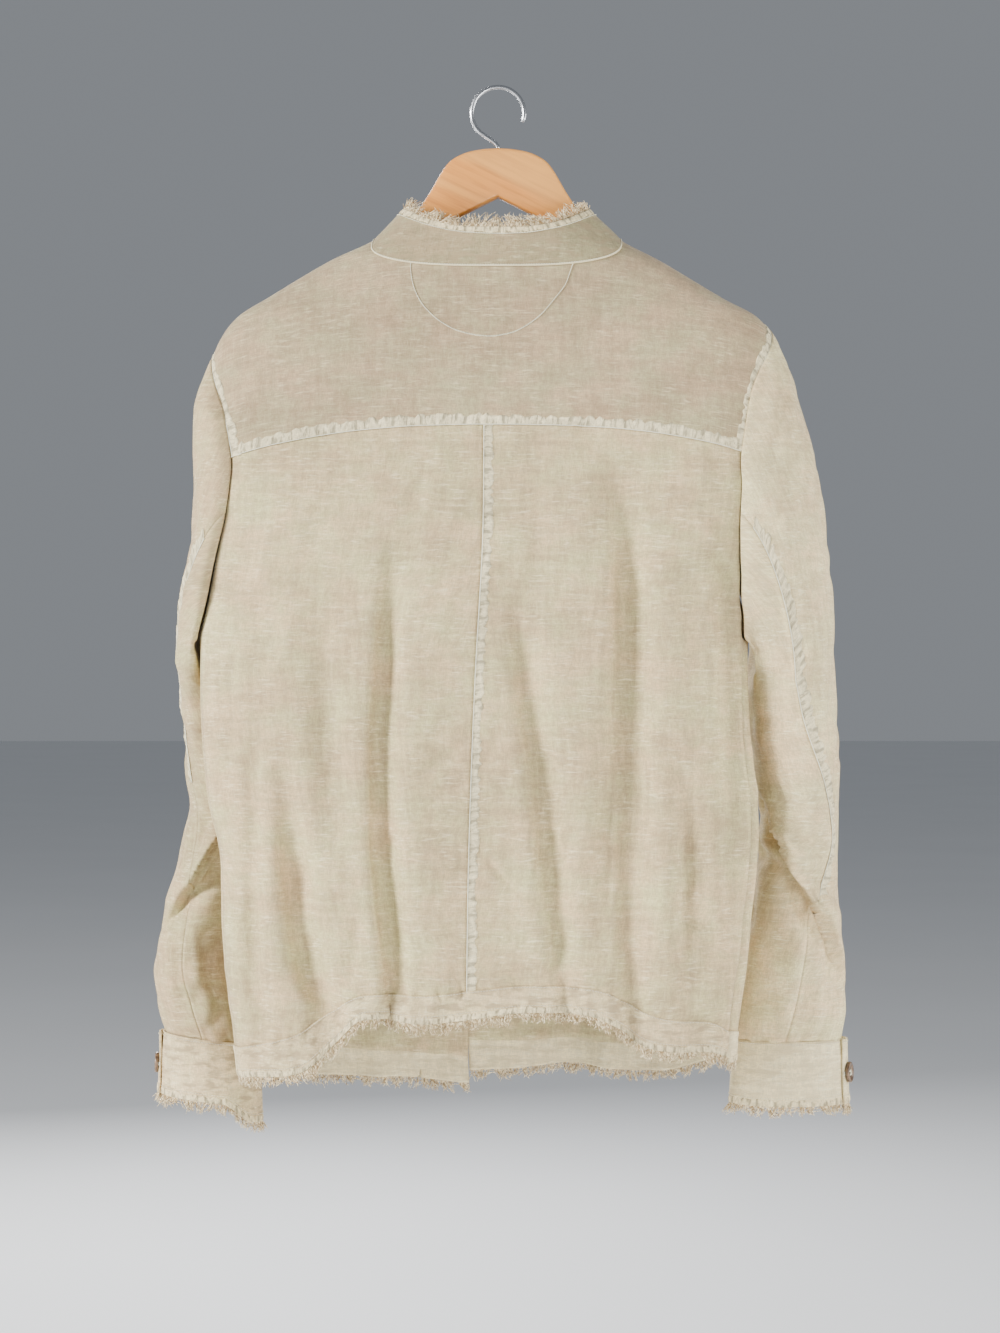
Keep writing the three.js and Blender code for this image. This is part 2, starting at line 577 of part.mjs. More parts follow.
// The grid of a whole sleeve: columns follow the armhole's corners, rows run from the armhole to the cuff.
function sleeveGrid(side) {
  const sign = side === "left" ? 1 : -1;
  const count = armholes[side].length;
  const [seamAt, frontAt] = [corner.sleeve, corner.front];
  const angleOf = (i, z) => {
    const seam = read(sleeves[side], "z", "seam", z);
    if (i > seamAt && i < frontAt) {
      const crowd = read(sleeves[side], "z", "crowd", z);
      return mix(seam, frontSeam, ((i - seamAt) / (frontAt - seamAt)) ** crowd);
    }
    const turn = i >= frontAt ? i - count : i;
    return mix(frontSeam - 360, seam, (turn - frontAt + count) / (seamAt - frontAt + count));
  };
  const [high, low] = [sleeves[side][0].z, sleeves[side].at(-1).z];
  const rings = even(armRows).map((t) => mix(high, low, t));
  const places = Array.from({ length: count }, (_, i) => i);
  const ring = (z) => places.map((i) => clearOfBody(sleevePoint(side, angleOf(i, z), z)));
  const cap = even(capRows).slice(0, -1).map((t) =>
    places.map((i) => {
      const turn = (i / count) * 2 * Math.PI;
      const underarm = Math.max(0, -Math.cos(turn));
      const { point, normal } = bodySpot(armhole(side, i), lap + 0.35 + 1.6 * underarm);
      const target = sleevePoint(side, angleOf(i, high), high);
      const outward = 0.2 + 0.65 * Math.sin(turn) ** 2;
      const start = new THREE.Vector3(sign * outward, 0.2 * Math.sin(turn), -0.85);
      start.addScaledVector(normal, 0.25 + 0.6 * underarm);
      const end = new THREE.Vector3(0, -0.12, -1);
      const pull = point.distanceTo(target) * 0.8;
      const [t2, t3] = [t * t, t * t * t];
      const swept = point
        .multiplyScalar(2 * t3 - 3 * t2 + 1)
        .addScaledVector(start.normalize(), (t3 - 2 * t2 + t) * pull)
        .addScaledVector(target, 3 * t2 - 2 * t3)
        .addScaledVector(end.normalize(), (t3 - t2) * pull);
      return t > 0 ? clearOfBody(swept) : swept;
    }),
  );
  const points = [...cap, ...rings.map(ring)];
  return points.map((row, j) =>
    row.map((point, i) => {
      const across = row[(i + 1) % count].clone().sub(row[(i + count - 1) % count]);
      const [above, below] = [points[Math.max(j - 1, 0)][i], points[Math.min(j + 1, points.length - 1)][i]];
      return { point, normal: below.clone().sub(above).cross(across).multiplyScalar(sign).normalize() };
    }),
  );
}

function sleeve(side) {
  const grid = sleeveGrid(side);
  const count = grid[0].length;
  const cut = (from, to) => {
    const columns = Array.from({ length: to - from + 1 }, (_, i) => (from + i) % count);
    return grid.map((row) => columns.map((i) => row[i]));
  };
  add(`sleeve_${side}_top`, wall(trimmed(cut(corner.front, corner.sleeve + count))), "linen");
  add(`sleeve_${side}_under`, wall(trimmed(cut(corner.sleeve, corner.front))), "linen");
}

// Cuffs: a band round the wrist whose end laps over its start on the outer side.
const cuffs = {
  left: { start: -9, lean: 9, spread: 2 },
  right: { start: 2, lean: 0, spread: 2 },
};

function cuffPoint(side, turn, v) {
  const { start, lean, spread } = cuffs[side];
  const base = sleevePoint(side, start + turn, sleeves[side].at(-1).z);
  const ramp = THREE.MathUtils.smoothstep(turn, 360 - cuffSize.lapAngle, 360);
  const { outer, inner, y } = sleeves[side].at(-1);
  const centre = new THREE.Vector3(((side === "left" ? 1 : -1) * (outer + inner)) / 2, y, base.z);
  const away = base.clone().sub(centre);
  const grow = 1 + ((lap + 0.7) * ramp + spread * v) / away.length();
  const drop = gap + v * (cuffSize.tall - lean * Math.cos(rad(start + turn)));
  return centre.addScaledVector(away, grow).add(new THREE.Vector3(0, 0, -drop));
}

function cuffSpot(side, turn, v) {
  const around = cuffPoint(side, turn + 2, v).sub(cuffPoint(side, turn - 2, v));
  const down = cuffPoint(side, turn, v + 0.05).sub(cuffPoint(side, turn, v - 0.05));
  const normal = around.cross(down).multiplyScalar(side === "left" ? -1 : 1).normalize();
  return { point: cuffPoint(side, turn, v), normal };
}

function cuff(side) {
  const spots = even(3).map((v) => even(26).map((t) => cuffSpot(side, t * (360 + cuffSize.lapAngle), v)));
  add(`cuff_${side}`, wall(spots), "linen");
  fringe(`fray_cuff_${side}`, spots, 22, cuffSize);
  const seat = cuffSpot(side, 360 + cuffSize.lapAngle * 0.35, 0.52);
  sewOn(`button_cuff_${side}`, seat);
}

// A round button with a raised rim, lying on a spot of the cloth.
function sewOn(name, { point, normal }) {
  const { radius, thick, rim, dish } = button;
  const inner = radius - rim;
  const profile = [
    [0, 0],
    [radius - 0.8, 0],
    [radius, thick / 2],
    [inner, thick],
    [inner - dish, thick - dish],
    [0, thick - dish],
  ];
  const mesh = add(name, new THREE.LatheGeometry(profile.map((p) => new THREE.Vector2(...p)), 14), "horn");
  mesh.quaternion.setFromUnitVectors(new THREE.Vector3(0, 1, 0), normal);
  mesh.position.copy(point).addScaledVector(normal, cloth / 2 + gap + 0.2);
}

// Hanger: two arms of wood under the shoulders, meeting in a point below the hook.
const arm = [
  { x: 0, top: wood.top, under: -91 },
  { x: 30, top: -55, under: -106 },
  { x: 43, top: -64, under: -113 },
  { x: 59, top: -90, under: -122 },
  { x: 74, top: -110, under: -131 },
  { x: 103, top: -131, under: -150 },
  { x: 150, top: -156, under: -177 },
  { x: 196, top: -184, under: -204 },
  { x: 206, top: -192, under: -203 },
];

function hangerWood() {
  const half = (sign, column) => arm.map((row) => new THREE.Vector2(sign * row.x, row[column]));
  const outline = [
    ...half(1, "top"),
    ...half(1, "under").reverse(),
    ...half(-1, "under").slice(1),
    ...half(-1, "top").reverse().slice(0, -1),
  ];
  const { thick, bevel } = wood;
  const settings = { depth: thick - 2 * bevel, bevelSize: bevel, bevelThickness: bevel, bevelSegments: 1 };
  const inset = { ...settings, bevelOffset: -bevel, bevelEnabled: true };
  const mesh = add("hanger_wood", new THREE.ExtrudeGeometry(new THREE.Shape(outline), inset), "wood");
  mesh.rotation.x = Math.PI / 2;
  mesh.position.y = thick / 2 - bevel;
}

// Hook: a wire from the wood's top, bent round the rail.
function hangerHook() {
  const { radius, hookRadius } = wire;
  const middle = radius - hookRadius;
  const arc = even(16).map((t) => {
    const turn = rad(mix(-48, 200, t));
    return new THREE.Vector3(hookRadius * Math.cos(turn), 0, middle + hookRadius * Math.sin(turn));
  });
  const foot = wood.top + gap;
  const stem = [
    [0, foot],
    [0, foot + 3],
    [5, middle - hookRadius + 1],
  ].map(([x, z]) => new THREE.Vector3(x, 0, z));
  const path = new THREE.CatmullRomCurve3([...stem, ...arc], false, "centripetal");
  const section = new THREE.Shape().absarc(0, 0, radius, 0, 2 * Math.PI);
  const geometry = new THREE.ExtrudeGeometry(section, { steps: 34, curveSegments: 4, extrudePath: path });
  add("hanger_hook", geometry, "steel");
}

hangerWood();
hangerHook();
yoke();
collar();
for (const side of ["left", "right"]) {
  const [back, front] = [backSpots(side), frontSpots(side)];
  add(`back_${side}`, wall(trimmed(back)), "linen");
  add(`front_${side}`, wall(trimmed(front)), "linen");
  const placket = frontSpots(side, lap).map((row) => row.slice(-placketColumns.length));
  add(`placket_${side}`, wall(trimmed(placket)), "band");
  const hem = trimmed(hemSpots(front.at(-1), hemFront[side]), { top: 2 });
  add(`hem_front_${side}`, wall(hem), "band");
  fringe(`fray_hem_front_${side}`, hem, 22, hemBand);
  sleeve(side);
  cuff(side);
}
const [leftRow, rightRow] = ["left", "right"].map((side) => backSpots(side).at(-1));
const backHem = trimmed(hemSpots([...leftRow, ...rightRow.reverse().slice(1)], hemBack), { top: 3.2 });
add("hem_back", wall(backHem), "band");
fringe("fray_hem_back", backHem, 46, hemBand);

const buttonHeights = [-185, -300, -415, -530, -645];
buttonHeights.forEach((z, i) => {
  const x = read(frontEdge, "z", "x", z) - placketWide / 2;
  sewOn(`button_${i + 1}`, bodySpot([angleAt(x, z, -1), z], lap));
});

export default group;
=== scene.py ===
import math

import bpy
import numpy as np
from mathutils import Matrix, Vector


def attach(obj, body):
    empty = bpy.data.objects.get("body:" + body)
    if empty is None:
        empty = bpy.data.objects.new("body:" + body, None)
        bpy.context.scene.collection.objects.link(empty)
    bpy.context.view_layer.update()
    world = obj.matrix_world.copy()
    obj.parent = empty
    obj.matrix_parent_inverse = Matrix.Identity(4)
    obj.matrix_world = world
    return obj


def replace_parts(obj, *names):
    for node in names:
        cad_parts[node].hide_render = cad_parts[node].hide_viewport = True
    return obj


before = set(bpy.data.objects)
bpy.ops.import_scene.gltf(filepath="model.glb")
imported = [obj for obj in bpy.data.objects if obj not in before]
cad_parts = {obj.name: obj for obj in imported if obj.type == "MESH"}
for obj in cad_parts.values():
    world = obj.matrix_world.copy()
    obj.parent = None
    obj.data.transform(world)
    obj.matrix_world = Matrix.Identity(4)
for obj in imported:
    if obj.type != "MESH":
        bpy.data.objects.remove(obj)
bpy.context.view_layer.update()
print("frame loaded")

# The camera of the photograph stands level behind the jacket
view = {"place": (-0.0016, 2.2, -0.4842), "lens": 94.4, "floorHeight": -1.4}

cameraData = bpy.data.cameras.new("photoCamera")
cameraData.sensor_fit = "HORIZONTAL"
cameraData.sensor_width = 36
cameraData.lens = view["lens"]
cameraData.clip_end = 50
camera = bpy.data.objects.new("photoCamera", cameraData)
bpy.context.scene.collection.objects.link(camera)
camera.location = view["place"]
camera.rotation_euler = (math.radians(90), 0, math.radians(180))
bpy.context.scene.camera = camera

# Shared sums. Lengths here are in millimetres, angles in degrees, places as numpy arrays


def mix(a, b, t):
    return a + (b - a) * t


def smooth(low, high, at):
    t = np.clip((at - low) / (high - low), 0, 1)
    return t * t * (3 - 2 * t)


def readColumn(table, column, at, key="z"):  # smoothly between a table's rows
    keys, values = np.array(table[key], float), np.array(table[column], float)
    if keys[0] > keys[-1]:
        keys, values = keys[::-1], values[::-1]
    slopes = np.gradient(values)
    slopes[1:-1] = (values[2:] - values[:-2]) / (keys[2:] - keys[:-2])
    slopes[0] = (values[1] - values[0]) / (keys[1] - keys[0])
    slopes[-1] = (values[-1] - values[-2]) / (keys[-1] - keys[-2])
    at = np.clip(at, keys[0], keys[-1])
    i = np.clip(np.searchsorted(keys, at, side="right") - 1, 0, len(keys) - 2)
    step = keys[i + 1] - keys[i]
    t = (at - keys[i]) / step
    bend = t * (1 - t) * step * (slopes[i] * (1 - t) - slopes[i + 1] * t)
    return mix(values[i], values[i + 1], t * t * (3 - 2 * t)) + bend


def unit(vectors):
    return vectors / np.maximum(np.linalg.norm(vectors, axis=-1, keepdims=True), 1e-9)


def cosSin(angle):
    return np.cos(np.radians(angle)), np.sin(np.radians(angle))


def softNoise(u, v, seed):  # -1 to 1, one swell per unit
    count = 128
    lattice = np.random.default_rng(seed).random((count, count)) * 2 - 1
    u, v = np.broadcast_arrays(u, v)
    i, j = np.floor(u).astype(int), np.floor(v).astype(int)
    s, t = smooth(0, 1, u - i), smooth(0, 1, v - j)
    knot = lambda a, b: lattice[(i + a) % count, (j + b) % count]
    return mix(mix(knot(0, 0), knot(1, 0), s), mix(knot(0, 1), knot(1, 1), s), t)


def farAlong(points, axis=0):  # distance from the first point of a line, or along one way of a grid
    steps = np.diff(points, axis=axis, prepend=np.take(points, [0], axis=axis))
    return np.cumsum(np.linalg.norm(steps, axis=-1), axis=axis)


def readLine(points, far, at):  # points of a line at wanted distances
    return np.stack([np.interp(at, far, points[:, k]) for k in range(points.shape[1])], axis=-1)


def resample(points, count):
    far = farAlong(points)
    return readLine(points, far, np.linspace(0, far[-1], count))


def smoothLine(line, steps):
    for _ in range(steps):
        line = np.concatenate([line[:1], (line[:-2] + line[1:-1] * 2 + line[2:]) / 4, line[-1:]])
    return line


def swing(start, leaving, arriving, end, t):  # a curve with a given direction at each end
    curve = start * (2 * t**3 - 3 * t**2 + 1) + leaving * (t**3 - 2 * t**2 + t)
    return curve + end * (3 * t**2 - 2 * t**3) + arriving * (t**3 - t**2)


def outwardOf(points, outward):  # one direction for all points, or a function of them
    return unit(outward(points)) if callable(outward) else np.broadcast_to(np.array(outward, float), points.shape)


sides = {"left": 1, "right": -1}
backward, forward = (0, 1, 0), (0, -1, 0)


# The body as level rings, as in the solids
body = {
    "z": [-118, -127, -145, -177, -192, -212, -233, -270, -312, -378, -440, -523, -595, -640, -702, -778, -850],
    "left": [97, 103, 141, 194, 217, 232, 239, 243, 244, 246, 247, 247, 241, 231, 230, 222, 212],
    "right": [-97, -102, -136, -189, -216, -231, -236, -234, -226, -216, -209, -210, -217, -217, -210, -201, -196],
    "mid": [0, 0, 0, 0, 0, 0, 0, 0, 1, 4, 10, 12, 12, 12, 12, 12, 12],
    "back": [27, 33, 41, 47, 49, 51, 52, 54, 56, 58, 58, 58, 57, 57, 58, 61, 64],
    "front": [27, 32, 39, 45, 47, 49, 50, 52, 54, 56, 57, 57, 57, 57, 58, 60, 61],
    "square": [2, 2, 2, 2.3, 2.6, 3, 3.3, 3.6, 3.6, 3.4, 3, 2.7, 2.6, 2.6, 2.6, 2.6, 2.6],
    "belly": [2, 2, 2, 2.3, 2.6, 3, 3.3, 3.6, 3.6, 3.3, 2.6, 2.1, 2, 2, 2, 2, 2],
}

# Large folds of the solids: side, top, bottom, x at both, bow, width, depth. sharp is the edge towards +X
folds = [
    dict(side=1, top=-360, bottom=-775, x0=86, x1=88, bend=9, width=10, depth=9, sharp=1.7),
    dict(side=1, top=-590, bottom=-800, x0=178, x1=138, bend=6, width=15, depth=7, sharp=1.2),
    dict(side=1, top=-290, bottom=-790, x0=-99, x1=-107, bend=-5, width=15, depth=10, sharp=1.7),
    dict(side=1, top=-380, bottom=-780, x0=-8, x1=-56, bend=0, width=12, depth=5, sharp=1.5),
    dict(side=1, top=-370, bottom=-640, x0=-184, x1=-188, bend=0, width=9, depth=5, sharp=1.2),
    dict(side=1, top=-480, bottom=-830, x0=200, x1=196, bend=0, width=9, depth=4, sharp=1),
    dict(side=-1, top=-330, bottom=-800, x0=112, x1=104, bend=6, width=15, depth=9, sharp=1),
    dict(side=-1, top=-420, bottom=-840, x0=170, x1=158, bend=0, width=13, depth=6, sharp=1.3),
    dict(side=-1, top=-330, bottom=-800, x0=-96, x1=-90, bend=-5, width=15, depth=9, sharp=1.4),
    dict(side=-1, top=-430, bottom=-840, x0=-152, x1=-146, bend=4, width=13, depth=6, sharp=1),
]

# Smaller creases laid on the back: ends in x and z, half width, depth (less than 0 stands proud)
backCreases = [
    (28, -548, 62, -575, 7, 1.6), (24, -575, 58, -600, 6, 1.4), (20, -645, 48, -668, 6, 1.2),
    (12, -640, -12, -662, 4, 1.5), (30, -700, 66, -722, 8, 1.3), (150, -430, 128, -600, 17, 1.8),
    (172, -560, 150, -700, 13, 1.6), (205, -400, 180, -480, 12, 1.2), (120, -610, 70, -640, 9, 1.0),
    (-70, -330, -60, -470, 13, -1.2), (-35, -300, -30, -430, 11, 1.1), (-157, -602, -152, -740, 8, 1.9),
    (-132, -560, -140, -740, 10, -1.4), (-152, -690, -190, -704, 5, 1.4), (-172, -380, -192, -420, 7, 1.6),
    (-165, -340, -186, -372, 7, 1.0), (60, -300, 74, -420, 12, 1.0), (-60, -700, -30, -745, 9, 1.3),
    (190, -620, 150, -770, 12, 1.3), (216, -470, 222, -600, 8, 1.2), (-120, -500, -150, -560, 10, 0.9),
    (120, -330, 160, -390, 13, 0.9), (-8, -480, 4, -560, 6, 0.9), (-75, -560, -88, -700, 8, -1.4),
    (110, -690, 122, -745, 7, 1.4), (76, -690, 66, -745, 7, -1.2), (-30, -600, -20, -690, 7, -0.9),
    (-178, -700, -160, -770, 7, 1.4), (0, -722, -20, -748, 6, 1.1), (205, -740, 180, -790, 8, 1.5),
]
frontCreases = [
    (60, -230, 110, -300, 14, 1.3), (150, -300, 185, -390, 12, 1.6), (80, -420, 130, -470, 10, 1.2),
    (60, -560, 92, -640, 9, 1.2), (140, -560, 120, -700, 12, 1.4), (190, -520, 178, -690, 10, 1.4),
    (-60, -240, -120, -300, 14, 1.3), (-140, -300, -180, -400, 12, 1.6), (-70, -430, -120, -470, 10, 1.2),
    (-60, -600, -84, -680, 9, 1.3), (-120, -560, -126, -720, 12, 1.4), (-172, -500, -168, -660, 10, 1.4),
    (70, -720, 84, -790, 8, 1.5), (-60, -730, -50, -790, 8, 1.5), (150, -740, 165, -800, 8, 1.6),
]


def trough(off, deep=1.2, rim=0.4, reach=5):  # cut across a fold: a hollow with a low rim at both sides
    return deep * np.exp(-off * off) - rim * np.exp(-off * off / reach)


def creaseDepth(x, z, creases):
    depth = np.zeros(np.broadcast(x, z).shape)
    for x0, z0, x1, z1, width, amount in creases:
        long = math.hypot(x1 - x0, z1 - z0)
        dx, dz = (x1 - x0) / long, (z1 - z0) / long
        along = (x - x0) * dx + (z - z0) * dz
        off = (x - x0) * dz - (z - z0) * dx + 2.5 * softNoise(along / 28, x0 + 0 * along, 7)
        ends = smooth(-0.25 * long, 0.25 * long, along) * smooth(1.25 * long, 0.75 * long, along)
        off = off / np.where(off > 0, width * 0.7, width * 1.2)
        depth += cloth["creases"] * amount * ends * trough(off)
    return depth


# Main folds of the back, each a line down the cloth with its depth, steeper on its +X side
longFolds = [
    {"z": [-360, -430, -558, -624, -692, -741, -768], "x": [86, 90, 100, 98, 89, 82, 80],
     "depth": [0, 2.6, 4.6, 5.4, 5.6, 4.2, 0.5], "width": 14},
    {"z": [-585, -610, -645, -732, -768, -790], "x": [176, 174, 169, 158, 137, 130],
     "depth": [0, 1.8, 3.6, 5.4, 4.4, 0.5], "width": 13},
    {"z": [-290, -340, -430, -540, -616, -700, -765], "x": [-97, -99, -103, -98, -90, -89, -90],
     "depth": [0, 2.8, 5, 5.8, 5.8, 4.4, 0.5], "width": 18},
    {"z": [-370, -456, -512, -559, -626, -700, -750], "x": [-11, -16, -22, -32, -41, -49, -52],
     "depth": [0, 1.8, 3.2, 4.4, 5, 3.4, 0], "width": 14},
    {"z": [-350, -430, -520, -590, -640], "x": [-181, -187, -192, -194, -194],
     "depth": [0, 2.4, 3.2, 2.4, 0], "width": 11},
    {"z": [-560, -620, -700, -760], "x": [-154, -156, -157, -156], "depth": [0, 2.4, 3, 0], "width": 11},
    {"z": [-430, -500, -600, -660], "x": [146, 142, 140, 138], "depth": [0, 1.8, 2, 0], "width": 16},
    {"z": [-530, -600, -660, -700], "x": [180, 176, 170, 168], "depth": [0, 1.9, 2, 0], "width": 11},
    {"z": [-560, -640, -720, -770], "x": [205, 203, 203, 202], "depth": [0, 1.4, 2.2, 0], "width": 8},
]


def longDepth(x, z):
    depth = np.zeros(np.broadcast(x, z).shape)
    for fold in longFolds:
        top, bottom = fold["z"][0], fold["z"][-1]
        line = readColumn(fold, "x", z) + 1.6 * softNoise(z / 34, 0 * z, 17)
        off = (x - line) / fold["width"]
        off = off * np.where(off > 0, 1.2, 0.75)
        inside = smooth(top + 1, top - 20, z) * smooth(bottom - 1, bottom + 14, z)
        depth += cloth["folds"] * inside * readColumn(fold, "depth", z) * trough(off)
    return depth


def foldDepth(x, side, z):
    depth = np.zeros(np.broadcast(x, z).shape)
    for fold in folds:
        t = (fold["top"] - z) / (fold["top"] - fold["bottom"])
        line = mix(fold["x0"], fold["x1"], t) + fold["bend"] * np.sin(math.pi * np.clip(t, 0, 1))
        fade = np.minimum(1, np.maximum(t, 0) * 4) ** 2 * smooth(1.25, 1.1, t)
        off = (x - line) / fold["width"]
        off = off * np.where(off > 0, fold["sharp"], 1 / fold["sharp"] ** 0.4)
        depth += np.where(side == fold["side"], fold["depth"] * fade * trough(off, 1.25, 0.45, 6), 0)
    return depth


def ringAt(z, side):  # middle, half width, middle of the depth, power and depth of the body's ring
    left, right, mid = (readColumn(body, column, z) for column in ("left", "right", "mid"))
    power = np.where(side > 0, readColumn(body, "square", z), readColumn(body, "belly", z))
    depth = np.where(side > 0, readColumn(body, "back", z), readColumn(body, "front", z)) - side * mid
    return (left + right) / 2, (left - right) / 2, mid, power, depth


def bodyPoint(angle, z):
    angle, z = np.broadcast_arrays(np.asarray(angle, float), np.asarray(z, float))
    c, s = cosSin(angle)
    side = np.where(s < 0, -1, 1)
    middle, half, mid, power, depth = ringAt(z, side)
    x = middle + half * np.sign(c) * np.abs(c) ** (2 / power)
    y = mid + side * np.abs(s) ** (2 / power) * (depth - foldDepth(x, side, z))
    return np.stack([x, y, z + 0 * x], axis=-1)


def angleAt(x, z, side=1):
    middle, half, _, power, _ = ringAt(z, side)
    across = np.clip((x - middle) / half, -1, 1)
    return side * np.degrees(np.arccos(np.sign(across) * np.abs(across) ** (power / 2)))


def toBody(points):  # angle and height of the body's surface nearest to each point
    x, y, z = np.moveaxis(points, -1, 0)
    side = np.where(y < readColumn(body, "mid", z), -1, 1)
    middle, half, mid, power, depth = ringAt(z, side)
    across = (x - middle) / half
    c = np.sign(across) * np.abs(across) ** (power / 2)
    return np.degrees(np.arctan2(side * np.abs((y - mid) / depth) ** (power / 2), c)), z


# Seams, as in the solids
neckline = {"back": -154, "front": -144, "side": -126}


def neckZ(angle):
    c, s = cosSin(angle)
    return mix(np.where(s > 0, neckline["back"], neckline["front"]), neckline["side"], np.abs(c) ** 2.6)


def yokeZ(x):
    return -286 - 24 * np.abs(x / 216) ** 2.5


armholes = {
    "left": {
        "z": [-226, -244, -274, -312, -335, -358, -390, -420, -446, -462, -446, -415, -375, -330, -290, -254, -236],
        "angle": [0, 16, 29, 35, 35, 33, 28, 22, 15, 6, -7, -22, -33, -38, -38, -30, -15],
    },
    "right": {
        "z": [-203, -220, -254, -307, -335, -358, -390, -420, -445, -462, -446, -415, -375, -330, -290, -248, -218],
        "angle": [0, 20, 35, 36.5, 33, 31, 27, 22, 17, 13, -5, -20, -32, -37, -38, -32, -16],
    },
}
corner = {"back": 3, "sleeve": 5, "under": 9, "front": 13, "shoulder": 15}
armholeRows = 17


def onSide(side, angle):
    return angle if side == "left" else 180 - angle


def armhole(side, place):  # angle from that side's outermost line, and height
    i = np.floor(place).astype(int)
    t = place - i
    read = []
    for column in ("angle", "z"):
        values = np.array(armholes[side][column], float)
        a, b, c, d = (values[(i + k) % armholeRows] for k in (-1, 0, 1, 2))
        read.append(b + 0.5 * t * (c - a + t * (2 * a - 5 * b + 4 * c - d + t * (3 * (b - c) + d - a))))
    return read


hemSide = {"left": -800, "right": -786}
sideAngle = {
    "left": {"z": [-462, -560, -850], "angle": [6, 9, 10]},
    "right": {"z": [-462, -560, -850], "angle": [13, 17, 22]},
}
hemBack = {
    "x": [213, 165, 136, 112, 60, 20, -22, -72, -92, -121, -145, -178, -196],
    "band": [-800, -787, -767, -754, -754, -750, -746, -748, -753, -769, -775, -777, -786],
    "edge": [-823, -817, -794, -773, -776, -772, -767, -769, -776, -795, -800, -802, -810],
}
hemFront = {
    "left": {"x": [213, 150, 85, 27], "band": [-800, -809, -815, -820], "edge": [-823, -833, -837, -843]},
    "right": {
        "x": [27, -20, -60, -110, -150, -196],
        "band": [-806, -806, -803, -807, -803, -786],
        "edge": [-832, -830, -825, -830, -827, -810],
    },
}
centreSeam = {"z": [-286, -378, -500, -640, -780], "x": [11.5, 12.5, 19, 24, 26]}
frontEdge = {"z": [-140, -480, -850], "x": [5, 17, 27]}
yokeFrontAngle, yokeBackAngle = 30, 37
placketWide, placketColumns = 45, 18

# How thick the cloth is, and how strong its swells, the puckers along the seams, the folds and the creases are
cloth = {
    "thick": 1.1, "hemThick": 1.3, "cuffThick": 1.5, "bandThick": 0.5, "placketLift": 1.3,
    "swell": 1.5, "crumple": 0.85, "fine": 0.16, "pucker": 1.25, "folds": 1.8, "creases": 1.5,
}


def crumple(u, v, seed):
    broad = softNoise(u / 64, v / 90, seed) + 0.5 * softNoise(u / 34, v / 46, seed + 1)
    folded = 1 - 2 * np.abs(softNoise(u / 24 + v / 60, v / 30, seed + 2))
    small = softNoise(u / 9, v / 12, seed + 3) + 0.6 * softNoise(u / 5, v / 7, seed + 4)
    return cloth["swell"] * broad + cloth["crumple"] * folded + cloth["fine"] * small


def pucker(along, away, seed, reach, pitch=5.2):  # short gathers that run away from a seam
    strength = 0.55 + 0.45 * softNoise(along / 24, 0 * along, seed + 9)
    fine = 0.5 * softNoise(along / (pitch * 0.55), away / 12, seed + 5)
    ripple = softNoise(along / pitch, away / 22, seed) + fine
    return cloth["pucker"] * strength * ripple * np.exp(-np.abs(away) / reach)


def backRelief(x, z):
    relief = -creaseDepth(x, z, backCreases) - longDepth(x, z)
    fromYoke = yokeZ(x) - z - 2
    relief = relief + pucker(x, fromYoke, 31, 7) * smooth(-30, 0, 20 - np.abs(fromYoke))
    centre = readColumn(centreSeam, "x", z)
    below = smooth(-284, -290, z)
    relief = relief + below * pucker(z, x - centre, 41, 10) * np.where(x < centre, 1.15, 0.5)
    return relief + 2.6 * pucker(x, z - readColumn(hemBack, "band", x, "x"), 51, 12, 6)


def frontRelief(x, z):
    edge = readColumn(frontEdge, "x", z)
    away = np.abs(x - edge) - placketWide
    along = z + 400 * np.where(x > edge, 1, -1)
    relief = pucker(along, np.maximum(away, 0), 61, 7) * np.where(away < 0, 0.35, 1)
    hemLeft, hemRight = (readColumn(hemFront[side], "band", x, "x") for side in sides)
    hem = pucker(x, z - np.where(x > 20, hemLeft, hemRight), 71, 10, 6)
    return relief - creaseDepth(x, z, frontCreases) + 1.7 * hem


def bodyNormal(angle, z, da=0.5, dz=1.2):
    across = bodyPoint(angle + da, z) - bodyPoint(angle - da, z)
    down = bodyPoint(angle, z - dz) - bodyPoint(angle, z + dz)
    return unit(np.cross(down, across))


def clothPoint(angle, z, out=0.0):  # the wrinkled surface, moved out by some millimetres
    base, normal = bodyPoint(angle, z), bodyNormal(angle, z)
    x, _, z = np.moveaxis(base, -1, 0)
    s = np.sin(np.radians(angle))
    edge = smooth(0.02, 0.25, np.abs(s))
    swells = crumple(x + np.where(s > 0, 0, 900), z, 11) * (0.35 + 0.65 * edge) * smooth(-120, -330, z)
    relief = edge * np.where(s > 0, backRelief(x, z), frontRelief(x, z)) + swells
    return base + normal * (relief + out)[..., None]


# Meshes from grids of points in millimetres; rows run down, columns across


def gridNormals(points):
    return unit(np.cross(np.gradient(points, axis=0), np.gradient(points, axis=1)))


def finishMesh(name, vertices, faces, material, uv=None):
    mesh = bpy.data.meshes.new(name)
    mesh.from_pydata((np.asarray(vertices) / 1000).tolist(), [], faces)
    if uv is not None:
        layer = mesh.uv_layers.new(name="weave")
        index = np.zeros(len(mesh.loops), int)
        mesh.loops.foreach_get("vertex_index", index)
        layer.data.foreach_set("uv", np.asarray(uv)[index].ravel().astype(np.float32))
    mesh.polygons.foreach_set("use_smooth", [True] * len(mesh.polygons))
    mesh.update()
    mesh.materials.append(material)
    made = bpy.data.objects.new(name, mesh)
    bpy.context.scene.collection.objects.link(made)
    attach(made, "root")
    return made


